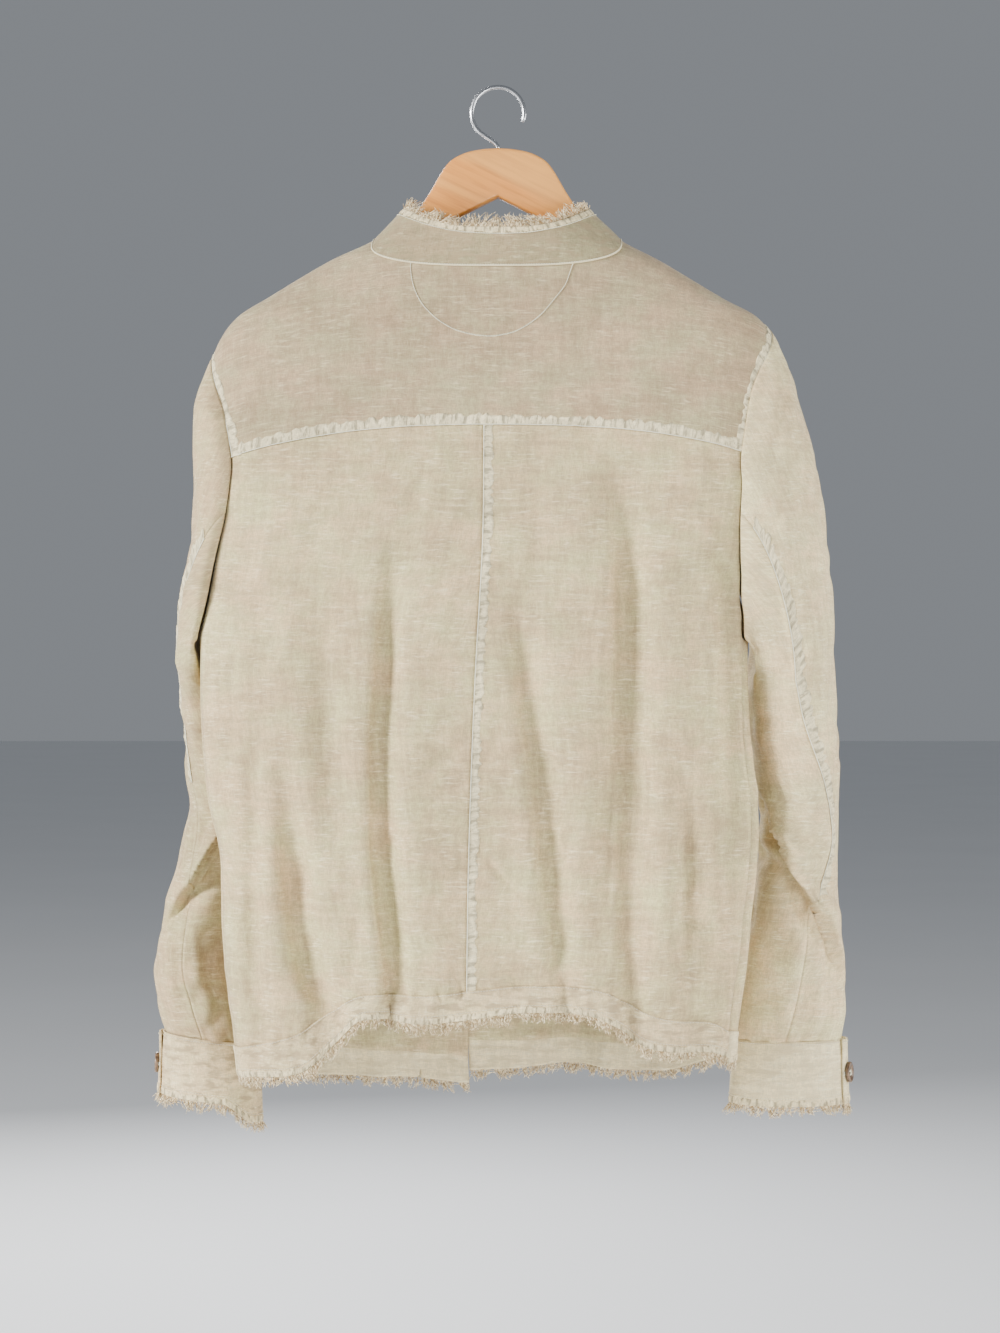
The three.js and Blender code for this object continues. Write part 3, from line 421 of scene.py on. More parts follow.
def makeShell(name, points, material, thick=cloth["thick"], flip=1, weave="hanging"):
    rows, columns = points.shape[:2]
    normal = gridNormals(points) * flip
    vertices = np.concatenate([(points + face * normal * thick / 2).reshape(-1, 3) for face in (1, -1)])
    index = np.arange(rows * columns).reshape(rows, columns)
    a, b, c, d = index[:-1, :-1], index[1:, :-1], index[1:, 1:], index[:-1, 1:]
    outer = np.stack([a, b, c, d], axis=-1).reshape(-1, 4)
    inner = np.stack([a, d, c, b], axis=-1).reshape(-1, 4) + rows * columns
    ring = np.concatenate([index[0, :-1], index[:-1, -1], index[-1, :0:-1], index[:0:-1, 0]])
    after = np.roll(ring, -1)
    rim = np.stack([ring, after, after + rows * columns, ring + rows * columns], axis=-1)
    faces = np.concatenate([outer, inner, rim])
    if flip < 0:
        faces = faces[:, ::-1]
    u, v = farAlong(points, 1), -points[..., 2]
    u = u - u[:, columns // 2 : columns // 2 + 1]
    if weave == "flat":  # over the shoulders, as laid on a table
        u, v = points[..., 0], v + 0.8 * np.abs(points[..., 1])
    elif weave == "along":  # with the rows of a band
        v = farAlong(points)[:, :1] + 0 * u
    uv = np.stack([u, v], axis=-1).reshape(-1, 2) / 1000
    return finishMesh(name, vertices, faces.tolist(), material, np.concatenate([uv, uv]))


def tubeFaces(count, around, first=0):  # rings of points joined into a closed tube
    faces = []
    for j in range(count - 1):
        for k in range(around):
            a, b = first + j * around + k, first + j * around + (k + 1) % around
            faces.append((a, b, b + around, a + around))
    faces.append(tuple(first + k for k in reversed(range(around))))
    faces.append(tuple(first + (count - 1) * around + k for k in range(around)))
    return faces


def makeTubes(name, lines, radii, material, around=3):  # thin threads or wires in one mesh
    vertices, faces, total = [], [], 0
    turns = np.linspace(0, 2 * math.pi, around, endpoint=False)
    for line, radius in zip(lines, radii):
        tangent = unit(np.gradient(line, axis=0))
        beside = unit(np.cross(tangent, np.array([0.31, 0.17, 0.93]) + 0 * tangent))
        other = np.cross(tangent, beside)
        wide = np.asarray(radius).reshape(-1, 1)
        rings = [line + (beside * math.cos(t) + other * math.sin(t)) * wide for t in turns]
        vertices.append(np.stack(rings, axis=1).reshape(-1, 3))
        faces += tubeFaces(len(line), around, total)
        total += len(line) * around
    return finishMesh(name, np.concatenate(vertices), faces, material)


def loft(name, sections, material):
    faces = [face[::-1] for face in tubeFaces(len(sections), len(sections[0]))]
    return finishMesh(name, np.array(sections).reshape(-1, 3), faces, material)


print("surfaces ready")

# Materials. Colours are linear


def linear(red, green, blue):
    steps = [c / 255 for c in (red, green, blue)]
    return [c / 12.92 if c <= 0.04045 else ((c + 0.055) / 1.055) ** 2.4 for c in steps] + [1]


def addNode(tree, kind, inputs=None, **settings):
    made = tree.nodes.new(kind)
    for setting, value in settings.items():
        setattr(made, setting, value)
    for socket, value in (inputs or {}).items():
        if isinstance(value, bpy.types.NodeSocket):
            tree.links.new(value, made.inputs[socket])
        else:
            made.inputs[socket].default_value = value
    return made


def join(kind, inputs, **settings):  # a node in the tree that its inputs come from
    tree = next(value.id_data for value in inputs.values() if isinstance(value, bpy.types.NodeSocket))
    return addNode(tree, kind, inputs, **settings).outputs


def startGroup(name, inputs, results):
    tree = bpy.data.node_groups.new(name, "ShaderNodeTree")
    for way, sockets in (("INPUT", inputs), ("OUTPUT", results)):
        for label, kind in sockets.items():
            tree.interface.new_socket(label, in_out=way, socket_type="NodeSocket" + kind)
    return tree, tree.nodes.new("NodeGroupInput"), tree.nodes.new("NodeGroupOutput")


def stretchedNoise(coordinates, scale, detail=1.0, rough=0.5):
    stretched = join("ShaderNodeVectorMath", {0: coordinates, 1: scale}, operation="MULTIPLY")[0]
    return join("ShaderNodeTexNoise", {"Vector": stretched, "Scale": 1.0, "Detail": detail, "Roughness": rough})[0]


def between(value, low, high, toLow=0.0, toHigh=1.0):
    limits = {"Value": value, "From Min": low, "From Max": high, "To Min": toLow, "To Max": toHigh}
    return join("ShaderNodeMapRange", limits, interpolation_type="SMOOTHSTEP")[0]


def maths(operation, a, b):
    return join("ShaderNodeMath", {0: a, 1: b}, operation=operation)[0]


def plus(a, b):
    return maths("ADD", a, b)


def times(a, b):
    return maths("MULTIPLY", a, b)


def blendColours(factor, a, b):
    return join("ShaderNodeMix", {0: factor, 6: a, 7: b}, data_type="RGBA")[2]


# Woven linen: patches of dye, thick slub yarns both ways, and the yarns' own relief
weaveGroup, groupIn, groupOut = startGroup(
    "linenWeave",
    {"Cloth": "Vector", "Place": "Vector", "Slubs": "Float"},
    {label: "Float" for label in ("Dye", "Slub", "Yarn", "Relief", "Faded")},
)
clothUv, clothPlace, slubShare = (groupIn.outputs[k] for k in range(3))
dye = between(stretchedNoise(clothPlace, (18, 18, 26), 4, 0.66), 0.34, 0.66)
cloudy = between(stretchedNoise(clothPlace, (11, 11, 16), 5, 0.62), 0.36, 0.64)
hatch = plus(stretchedNoise(clothUv, (26, 190, 1), 4, 0.7), stretchedNoise(clothUv, (200, 30, 1), 4, 0.7))
faded = times(plus(cloudy, between(hatch, 0.86, 1.14)), 0.5)
weft = between(stretchedNoise(clothUv, (75, 520, 1), 2, 0.65), 0.5, 0.72)
warp = between(stretchedNoise(clothUv, (560, 70, 1), 2, 0.65), 0.52, 0.76)
patchy = between(stretchedNoise(clothPlace, (60, 60, 60), 1), 0.35, 0.65)
streaks = between(stretchedNoise(clothUv, (60, 150, 1), 4, 0.7), 0.47, 0.68)
slubs = plus(times(weft, patchy), times(warp, 0.3))
slubs = times(plus(times(slubs, 0.75), times(streaks, 0.16)), slubShare)
yarn = times(plus(stretchedNoise(clothUv, (240, 1500, 1), 1), stretchedNoise(clothUv, (1500, 260, 1), 1)), 0.5)
relief = plus(times(slubs, 0.5), yarn)
for k, result in enumerate((dye, slubs, yarn, relief, faded)):
    weaveGroup.links.new(result, groupOut.inputs[k])

# Ladder of gathers across a sewn band, whose length is the second cloth coordinate; the linen materials bump the band
# lower and paint shade between the rungs
ladderGroup, groupIn, groupOut = startGroup("seamLadder", {"Cloth": "Vector", "Pitch": "Float"}, {"Rungs": "Float"})
pitched = join("ShaderNodeVectorMath", {0: groupIn.outputs[0], 3: groupIn.outputs[1]}, operation="SCALE")[0]
rungs = stretchedNoise(pitched, (0.35, 1.0, 1), 2, 0.6)
ladderGroup.links.new(between(rungs, 0.34, 0.54), groupOut.inputs[0])


def newMaterial(name):
    material = bpy.data.materials.new(name)
    material.use_nodes = True
    tree = material.node_tree
    place = addNode(tree, "ShaderNodeTexCoord").outputs["Object"]
    return material, tree, tree.nodes["Principled BSDF"], place


def setShader(tree, shader, colour, height=None, strength=0.0, distance=0.0, **settings):
    tree.links.new(colour, shader.inputs["Base Color"])
    if height is not None:
        bump = {"Height": height, "Strength": strength, "Distance": distance}
        tree.links.new(join("ShaderNodeBump", bump)[0], shader.inputs["Normal"])
    for setting, value in settings.items():
        shader.inputs[setting.replace("_", " ")].default_value = value


def linenMaterial(name, warm, cool, pale, slubs=1.0, ladder=0.0, pitch=330.0, relief=0.00032, contrast=0.4):
    material, tree, shader, place = newMaterial(name)
    uv = addNode(tree, "ShaderNodeUVMap", uv_map="weave").outputs[0]
    weave = addNode(tree, "ShaderNodeGroup", {"Cloth": uv, "Place": place, "Slubs": slubs}, node_tree=weaveGroup)
    shade = lambda share: linear(*[c * share for c in warm])
    colour = blendColours(weave.outputs["Dye"], linear(*warm), linear(*cool))
    colour = blendColours(weave.outputs["Faded"], blendColours(0.75, colour, shade(0.74)), colour)
    dark = blendColours(contrast, colour, shade(0.62))
    colour = blendColours(between(weave.outputs["Yarn"], 0.38, 0.62), dark, colour)
    colour = blendColours(times(weave.outputs["Slub"], 0.62), colour, linear(*pale))
    height = times(weave.outputs["Relief"], relief)
    if ladder:
        rungs = addNode(tree, "ShaderNodeGroup", {"Cloth": uv, "Pitch": pitch}, node_tree=ladderGroup).outputs[0]
        # Painted shade: the cloth darkens between the rungs, where the hollows of the gathers are bumped lower
        colour = blendColours(times(maths("SUBTRACT", 1.0, rungs), 0.8), colour, shade(1 - 0.3 * ladder))
        height = plus(height, times(rungs, 0.0006 * ladder))
    setShader(tree, shader, colour, height, 0.75, 1.0, Roughness=0.92, Specular_IOR_Level=0.25, Sheen_Weight=0.12,
              Sheen_Roughness=0.5)
    return material


linen = linenMaterial("washedLinen", (224, 194, 147), (211, 203, 147), (252, 240, 196))
# Sleeve linen in two brightnesses: this darker copy is painted shade on the left sleeve, and the paler copy below is
# painted light on the right sleeve
shadedSleeveLinen = linenMaterial("shadedSleeveLinen", (212, 181, 137), (199, 190, 137), (242, 228, 184))
sleeveLinen = linenMaterial("sleeveLinen", (244, 214, 164), (232, 222, 166), (255, 250, 208))
# A brightened copy of the pale hem linen, painted light: used on the right cuff and on the insides of the front hems
# below the back hem
litCuffHemLinen = linenMaterial(
    "litCuffHemLinen", (255, 234, 184), (250, 234, 182), (255, 250, 216), 1.0, 0.6, 150, contrast=0.35
)
yokeLinen = linenMaterial("yokeLinen", (198, 169, 131), (184, 175, 131), (230, 216, 174))
bandLinen = linenMaterial("paleSeamLinen", (255, 238, 192), (254, 239, 192), (255, 252, 218), 0.6, 1.4, 220)
ladderLinen = linenMaterial("paleEdgeLinen", (255, 234, 184), (252, 235, 184), (255, 250, 214), 0.5, 1.6, 250)
hemLinen = linenMaterial("hemLinen", (240, 211, 162), (232, 216, 162), (255, 248, 208), 1.0, 1.0, 170)
collarLinen = linenMaterial("collarLinen", (178, 156, 118), (168, 161, 119), (218, 206, 166), 1.0, 0.35, 160)
stitchMaterial = linenMaterial(
    "sewingThread", (255, 250, 222), (252, 246, 216), (255, 254, 240), 0.2, relief=0.0001, contrast=0.1
)


def grainMaterial(name, noise, limits, colours, spots=None, gloss=None, bump=None, turn=0, **settings):
    material, tree, shader, place = newMaterial(name)
    if turn:
        place = join("ShaderNodeVectorRotate", {"Vector": place, "Angle": turn}, rotation_type="Y_AXIS")[0]
    grain = stretchedNoise(place, *noise)
    dark, light, extra = (linear(*colour) for colour in (colours + colours[:1])[:3])
    colour = blendColours(between(grain, *limits), dark, light)
    if spots:
        scale, low, high, share = spots
        colour = blendColours(times(between(stretchedNoise(place, scale, 2), low, high), share), colour, extra)
    if gloss:
        tree.links.new(between(grain, 0.3, 0.7, *gloss), shader.inputs["Roughness"])
    setShader(tree, shader, colour, *((grain, *bump) if bump else ()), **settings)
    return material


threadMaterial = grainMaterial(
    "undyedThread", ((620, 620, 420), 2, 0.6), (0.4, 0.6), ((168, 138, 92), (255, 240, 200), (222, 196, 150)),
    spots=((90, 90, 90), 0.35, 0.65, 0.35), bump=(0.5, 0.0002), Roughness=0.9, Sheen_Weight=0.15,
)
woodMaterial = grainMaterial(
    "paleBeech", ((14, 260, 210), 3, 0.6), (0.35, 0.7), ((226, 150, 70), (196, 120, 50), (236, 176, 96)),
    spots=((5, 40, 34), 0.4, 0.65, 0.45), gloss=(0.36, 0.5), bump=(0.2, 0.0003), turn=0.45,
    Coat_Weight=0.25, Coat_Roughness=0.25,
)
steelMaterial = grainMaterial(
    "platedWire", ((260, 260, 60), 2), (0.35, 0.7), ((206, 207, 209), (176, 178, 181)),
    gloss=(0.2, 0.36), Metallic=1.0,
)
hornMaterial = grainMaterial(
    "brownHorn", ((240, 300, 200), 3, 0.6), (0.35, 0.68), ((74, 55, 40), (138, 112, 86)), gloss=(0.28, 0.42)
)
print("materials ready")

# Panels. Each grid's rows run down from its upper seam


def edgeBelow(side, first, step, wanted):  # local angle of a panel's outer edge at wanted heights
    places = np.arange(first, corner["under"] + step * 0.01, step * 0.05)
    angles, heights = armhole(side, places)
    below = np.linspace(-463, hemSide[side], 80)
    angles = np.concatenate([angles, readColumn(sideAngle[side], "angle", below)])
    heights = np.concatenate([heights, below])
    return np.interp(-wanted, -heights, angles)


def yokeGrid(rows=64, columns=(44, 80)):
    arms, across = np.linspace(0, 5, columns[0])[:-1], np.linspace(0, 1, columns[1])
    angle, height, neck = [], [], []
    for side in ("left", "right"):
        armAngle, armZ = armhole(side, corner["shoulder"] + arms)
        startAngle, startZ = armhole(side, np.array([corner["back"]]))
        startX = bodyPoint(onSide(side, startAngle), startZ)[0, 0]
        x = mix(startX, centreSeam["x"][0], across)
        z = yokeZ(x) + (startZ - yokeZ(startX)) * np.exp(-across / 0.05)
        seamAngle = onSide(side, angleAt(x, z))
        angle.append(onSide(side, np.concatenate([armAngle, seamAngle])))
        height.append(np.concatenate([armZ, z]))
        local = np.concatenate([mix(-yokeFrontAngle, yokeBackAngle, arms / 5), mix(yokeBackAngle, 90, across)])
        neck.append(onSide(side, local))
    join = lambda parts: np.concatenate([parts[0], parts[1][::-1][1:]])
    angle, height, neck = join(angle), join(height), join(neck)
    v = np.linspace(0, 1, rows)[:, None]
    return mix(neck, angle, v), mix(neckZ(neck), height, v)


def backGrid(side, rows=220, columns=80):
    startAngle, startZ = (value[0] for value in armhole(side, np.array([corner["back"]])))
    v, u = np.linspace(0, 1, rows)[:, None], np.linspace(0, 1, columns)[None, :]
    edgeZ = mix(startZ, hemSide[side], v)
    edgeAngle = onSide(side, edgeBelow(side, corner["back"], 1, edgeZ))
    edgeX = bodyPoint(edgeAngle, edgeZ)[..., 0]
    seamX = mix(edgeX[0, 0], centreSeam["x"][0], u)
    lowX = mix(edgeX[-1, 0], centreSeam["x"][-1], u)
    height = mix(yokeZ(seamX), readColumn(hemBack, "band", lowX, "x"), v)
    height = height + (edgeZ - height[:, :1]) * np.exp(-u / 0.08)
    x = mix(edgeX, readColumn(centreSeam, "x", height), u)
    return angleAt(x, height), height


def frontLocal(side, x, z):
    return angleAt(x, z, -1) if side == "left" else -angleAt(x, z, -1) - 180


def placketX(side, z, share):
    return readColumn(frontEdge, "x", z) + (1 if side == "left" else -1) * placketWide * share


def frontGrid(side, rows=160, columns=(48, placketColumns)):
    neckAngle, neckHeight = -yokeFrontAngle, float(neckZ(-yokeFrontAngle))
    v = np.linspace(0, 1, rows)[:, None]
    edgeZ = mix(neckHeight, hemSide[side], v)
    armStart = armhole(side, np.array([corner["shoulder"]]))[1][0]
    edgeAngle = np.where(edgeZ > armStart, neckAngle, edgeBelow(side, corner["shoulder"], -1, edgeZ))
    u = np.linspace(0, 1, columns[0])[None, :]
    footAngle = frontLocal(side, placketX(side, -144, 1), -144)
    topAngle = mix(neckAngle, footAngle, u)
    lowX = mix(bodyPoint(onSide(side, edgeAngle[-1, 0]), hemSide[side])[0], placketX(side, -850, 1), u)
    lowZ = readColumn(hemFront[side], "band", lowX, "x")
    height = mix(neckZ(onSide(side, topAngle)), lowZ, v)
    height = height + (edgeZ - height[:, :1]) * np.exp(-u / 0.08)
    atSide = edgeAngle - mix(neckAngle, edgeAngle[-1, 0], v)
    atPlacket = frontLocal(side, placketX(side, height, 1), height)
    atPlacket = atPlacket - mix(footAngle, frontLocal(side, placketX(side, -850, 1), -850), v)
    lowAngle = mix(edgeAngle[-1, 0], frontLocal(side, lowX, lowZ), smooth(0, 0.06, u))
    angle = mix(topAngle, lowAngle, v) + atSide * (1 - u) + atPlacket * u
    share = np.linspace(1, 0, columns[1])[None, 1:]
    topZ = neckZ(onSide(side, frontLocal(side, placketX(side, -144, share), -144)))
    placketZ = mix(topZ, readColumn(hemFront[side], "band", placketX(side, -850, share), "x"), v)
    placketAngle = frontLocal(side, placketX(side, placketZ, share), placketZ)
    return onSide(side, np.concatenate([angle, placketAngle], axis=1)), np.concatenate([height, placketZ], axis=1)


def place(name, node, points, material, onWhat, **settings):
    piece = makeShell(name, points, material, **settings)
    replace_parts(piece, node)
    wide, long = farAlong(points, 1)[:, -1].mean(), farAlong(points)[-1].mean()
    print(f"{name}: {wide:.0f} by {long:.0f} mm")


grids = {"yoke": yokeGrid()}
yokePoints = clothPoint(*grids["yoke"])
place("yokeCloth", "yoke", yokePoints, yokeLinen, ["hangerWood"], weave="flat")
placketPoints = {}
for side, sign in sides.items():
    grids["back", side] = backGrid(side)
    grids["front", side] = frontGrid(side)
    placket = (grid[:, -placketColumns:] for grid in grids["front", side])
    placketPoints[side] = clothPoint(*placket, cloth["placketLift"])
    name = side.capitalize()
    place("back" + name, "back_" + side, clothPoint(*grids["back", side]), linen, ["yokeCloth"], flip=sign)
    place("front" + name, "front_" + side, clothPoint(*grids["front", side]), linen, ["yokeCloth"], flip=-sign)
    place("placket" + name, "placket_" + side, placketPoints[side], linen, ["front" + name], flip=-sign)


def hemPoints(angle, height, table, rows=14, out=1.0):
    x = bodyPoint(angle, height)[..., 0]
    v = np.linspace(-0.05, 1, rows)[:, None]
    at = np.broadcast_to(angle, (rows, len(angle)))
    z = mix(height, readColumn(table, "edge", x, "x"), v)
    wave = 0.8 * softNoise(x / 9, v * 1.6, 81) + 0.5 * softNoise(x / 3.6, v * 2.4, 82)
    return clothPoint(at, z, out) + bodyNormal(at, z) * (wave * smooth(0, 0.3, v))[..., None]


lastRows = {key: (grid[0][-1], grid[1][-1]) for key, grid in grids.items() if key != "yoke"}
backRows = [np.concatenate([lastRows["back", "left"][k], lastRows["back", "right"][k][::-1][1:]]) for k in (0, 1)]
hems = {"Back": hemPoints(*backRows, hemBack)}
place("hemBack", "hem_back", hems["Back"], hemLinen, ["backLeft", "backRight"], thick=cloth["hemThick"])
for side, sign in sides.items():
    name, front = "Front" + side.capitalize(), "front" + side.capitalize()
    hems[name] = hemPoints(*lastRows["front", side], hemFront[side])
    # Painted light: the front hems' insides, shaded by the back hem, take the brightened linen
    place("hem" + name, "hem_front_" + side, hems[name], litCuffHemLinen, [front], thick=cloth["hemThick"], flip=-sign)

# Collar: a band that leans in towards its raw top edge
collarSize = {"wide": 77, "deep": 43, "backRise": 31, "sideRise": 24, "start": -88, "end": 266}


def collarPoint(angle, v, out=0.0):
    low = bodyPoint(angle, neckZ(angle))
    c, s = cosSin(angle)
    top = low[..., 2] + mix(collarSize["backRise"], collarSize["sideRise"], c * c)
    top = np.stack([1 + collarSize["wide"] * c, collarSize["deep"] * s, top], axis=-1)
    wave = 0.5 * softNoise(angle / 9, v * 1.2, 91) + 0.22 * softNoise(angle / 3.2, v * 2.5, 92)
    away = np.stack([c, s, 0.3 + 0 * c], axis=-1)
    return mix(low, top, np.asarray(v)[..., None]) + away * (wave * smooth(0, 0.2, v) + out)[..., None]


collarRows, collarAngles = np.meshgrid(
    np.linspace(-0.035, 1, 18), np.linspace(collarSize["start"], collarSize["end"], 260), indexing="ij"
)
collarGrid = collarPoint(collarAngles, collarRows, 1.0)
place("collarBand", "collar", collarGrid, collarLinen, ["yokeCloth"])
print("body laid")

# Sleeves as rings below the arm, as in the solids
sleeves = {
    "left": {
        "z": [-490, -530, -575, -610, -645, -700, -743, -775, -807],
        "outer": [260, 268, 271, 269, 277, 291, 300, 298, 291],
        "inner": [210, 212, 206, 203, 210, 222, 224, 216, 209],
        "y": [-54, -74, -82, -84, -84, -88, -90, -90, -88],
        "deep": [66, 62, 56, 52, 48, 43, 39, 35, 30],
        "turn": [24, 12, 4, 0, 0, 0, 0, 0, 0],
        "lean": [24, 14, 6, 0, 0, 0, 2, 4, 5],
        "seam": [60, 52, 48, 52, 62, 72, 76, 80, 84],
        "crowd": [1.8, 1.5, 1.2, 1, 1, 1, 1, 1, 1],
    },
    "right": {
        "z": [-490, -533, -588, -630, -677, -729, -766, -805],
        "outer": [284, 288, 291, 289, 289, 295, 299, 297],
        "inner": [212, 215, 222, 224, 219, 214, 208, 203],
        "y": [-26, -32, -38, -40, -46, -54, -60, -64],
        "deep": [62, 61, 58, 54, 49, 43, 36, 29],
        "turn": [4, 0, 0, 0, 0, 0, 0, 0],
        "lean": [26, 10, 4, 0, 0, 0, 0, 0],
        "seam": [101, 86, 62, 45, 70, 84, 90, 96],
        "crowd": [1.2, 1.1, 1, 1, 1, 1, 1, 1],
    },
}
elbows = {
    "left": {"inner": -632, "outer": -690, "depth": 5, "reach": 16},
    "right": {"inner": -592, "outer": -750, "depth": 5, "reach": 18},
}
frontSeam, clearance = 250, 2.2


def sleevePoint(side, angle, z):
    at = {key: readColumn(sleeves[side], key, z) for key in ("outer", "inner", "y", "deep", "turn", "lean")}
    c, s = cosSin(angle)
    fold = elbows[side]
    off = (z - mix(fold["inner"], fold["outer"], (1 + c) / 2)) / fold["reach"]
    swell = fold["depth"] * np.maximum(0, s) * 2.3 * off * np.exp(-off * off)
    wide, deep = (at["outer"] - at["inner"]) / 2 * c, (at["deep"] + swell) * s
    cosTurn, sinTurn = cosSin(at["turn"])
    x = (at["outer"] + at["inner"]) / 2 + wide * cosTurn + deep * sinTurn
    return np.stack([sides[side] * x, at["y"] - wide * sinTurn + deep * cosTurn, z + at["lean"] * c], axis=-1)


def clearOfBody(points):
    x, y, z = np.moveaxis(points, -1, 0)
    side = np.where(y > readColumn(body, "mid", z), 1, -1)
    middle, half, mid, power, depth = ringAt(z, side)
    dx, dy = x - middle, y - mid
    reach = (np.abs(dx / half) ** power + np.abs(dy / depth) ** power) ** (1 / power)
    grow = np.maximum(1, (1 + clearance / np.hypot(dx, dy)) / reach)
    return np.stack([middle + dx * grow, mid + dy * grow, z], axis=-1)


def sleeveAngle(side, place, z):
    seam, crowd = readColumn(sleeves[side], "seam", z), readColumn(sleeves[side], "crowd", z)
    first, last = corner["sleeve"], corner["front"]
    under = mix(seam, frontSeam, np.clip((place - first) / (last - first), 0, 1) ** crowd)
    turn = np.where(place >= last, place - armholeRows, place)
    top = mix(frontSeam - 360, seam, (turn - last + armholeRows) / (first - last + armholeRows))
    return np.where((place > first) & (place < last), under, top)


def sleeveCap(side, place, t):  # from the armhole down to the sleeve's first ring
    low = sleeves[side]["z"][0] + 0 * place
    turn = place / armholeRows * 2 * math.pi
    underarm = np.maximum(0, -np.cos(turn))
    angle, height = armhole(side, place)
    spot = (onSide(side, angle), height)
    start = clothPoint(*spot, 1.5 + 2 * underarm)
    target = sleevePoint(side, sleeveAngle(side, place, low), low)
    outward = 0.2 + 0.65 * np.sin(turn) ** 2
    leaving = np.stack([sides[side] * outward, 0.2 * np.sin(turn), -0.85 + 0 * turn], axis=-1)
    leaving = unit(leaving + bodyNormal(*spot) * (0.25 + 0.6 * underarm)[..., None])
    pull = 0.8 * np.linalg.norm(start - target, axis=-1)[..., None]
    t = np.asarray(t)[..., None]
    swept = swing(start, leaving * pull, unit(np.array([0, -0.12, -1])) * pull, target, t)
    return mix(swept, clearOfBody(swept), smooth(0, 0.06, t))


def sleeveGrid(side, places, capRows=70, armRows=120):
    places = places % armholeRows
    t = np.linspace(0, 1, capRows)[:-1, None] + 0 * places
    cap = sleeveCap(side, places + 0 * t, t)
    z = np.linspace(sleeves[side]["z"][0], sleeves[side]["z"][-1], armRows)[:, None] + 0 * places
    return np.concatenate([cap, clearOfBody(sleevePoint(side, sleeveAngle(side, places + 0 * z, z), z))])


# Creases of the sleeves where their backs show (x, z as on the body) and round their fronts
sleeveCreases = {
    "left": [
        (232, -600, 262, -640, 6, -2.2), (226, -618, 262, -672, 6, 2.8), (222, -560, 262, -590, 8, 1.2),
        (236, -650, 292, -712, 8, -1.8), (232, -480, 236, -600, 8, 1.6), (262, -420, 258, -560, 9, 1.4),
        (246, -330, 258, -420, 9, 1.3), (262, -720, 246, -800, 7, 1.6), (286, -700, 280, -790, 7, 1.1),
        (226, -680, 240, -760, 7, 1.5), (214, -745, 252, -790, 6, 1.2), (240, -740, 290, -775, 6, 0.9),
    ],
    "right": [
        (-204, -592, -262, -650, 5, 2.6), (-208, -608, -280, -688, 6, 3.0), (-206, -580, -252, -622, 6, -1.8),
        (-214, -632, -284, -712, 8, -2.2), (-222, -560, -262, -600, 7, 1.6), (-216, -480, -246, -600, 10, 1.4),
        (-240, -380, -262, -470, 11, 1.2), (-262, -450, -272, -590, 10, 1.4), (-206, -650, -228, -740, 9, 1.6),
        (-206, -700, -250, -780, 8, 1.3), (-256, -700, -244, -790, 8, 1.5), (-276, -720, -272, -790, 7, 1.2),
        (-222, -300, -238, -390, 9, 1.2), (-210, -540, -236, -566, 6, 1.2),
    ],
}
elbowPuffs = [(40, -600, 150, -640, 8, 1.6), (60, -560, 190, -590, 9, 1.4), (90, -520, 60, -700, 12, 1.5),
              (150, -450, 130, -620, 12, 1.4), (30, -660, 120, -700, 8, 1.3), (110, -700, 120, -790, 9, 1.3)]


def armMiddle(side, z):
    outer, inner, y = (readColumn(sleeves[side], key, z) for key in ("outer", "inner", "y"))
    return np.stack([sides[side] * (outer + inner) / 2, y, z], axis=-1)


def awayFromArm(side):
    return lambda points: points - armMiddle(side, points[..., 2])


# Folds at the elbows, where the upper sleeve hangs over the lower: the line in x and z, heights beside it
overhangs = {
    "left": {
        "x": [228, 237, 246, 255, 263, 269, 285, 300], "z": [-620, -629, -643, -657, -671, -678, -700, -722],
        "rise": 4.5, "drop": 9.5, "fade": [226, 238, 272, 296],
    },
    "right": {
        "x": [-212, -222, -239, -259, -278, -289, -296, -302], "z": [-566, -588, -642, -675, -701, -731, -753, -770],
        "rise": 9.5, "drop": 15.0, "fade": [208, 240, 280, 300],
    },
}


def overhang(side, x, z):
    fold, out = overhangs[side], sides[side] * x
    start, full, waning, end = fold["fade"]
    inside = smooth(start, full, out) * smooth(end, waning, out)
    above = z - readColumn(fold, "z", x, "x")
    over = smooth(-2.2, 2.2, above)
    rise = fold["rise"] * over * np.exp(-np.maximum(above, 0) / 26)
    return inside * (rise - fold["drop"] * (1 - over) * np.exp(np.minimum(above, 0) / 20))


def sleeveRelief(side, points):  # height of the wrinkles, and how far the cloth hangs over at the elbow
    x, y, z = np.moveaxis(points, -1, 0)
    around, down = farAlong(points, 1), farAlong(points)
    facing = smooth(-12, 6, y - readColumn(sleeves[side], "y", z))
    relief = -creaseDepth(x, z, sleeveCreases[side]) * facing
    relief = relief - creaseDepth(around + 30, z, elbowPuffs) * (1 - facing)
    seed = 101 if side == "left" else 151
    relief = relief + 1.5 * crumple(x + y * 1.1, z, seed) + pucker(around, down, seed + 20, 9)
    relief = relief + pucker(around, z - sleeves[side]["z"][-1], seed + 30, 16, 5) * 1.6
    across = np.linspace(0, 1, points.shape[1])
    ends = smooth(0, 0.05, across) * smooth(1, 0.95, across)
    return relief * (smooth(0, 16, down) * (0.25 + 0.75 * ends)), overhang(side, x, z) * facing


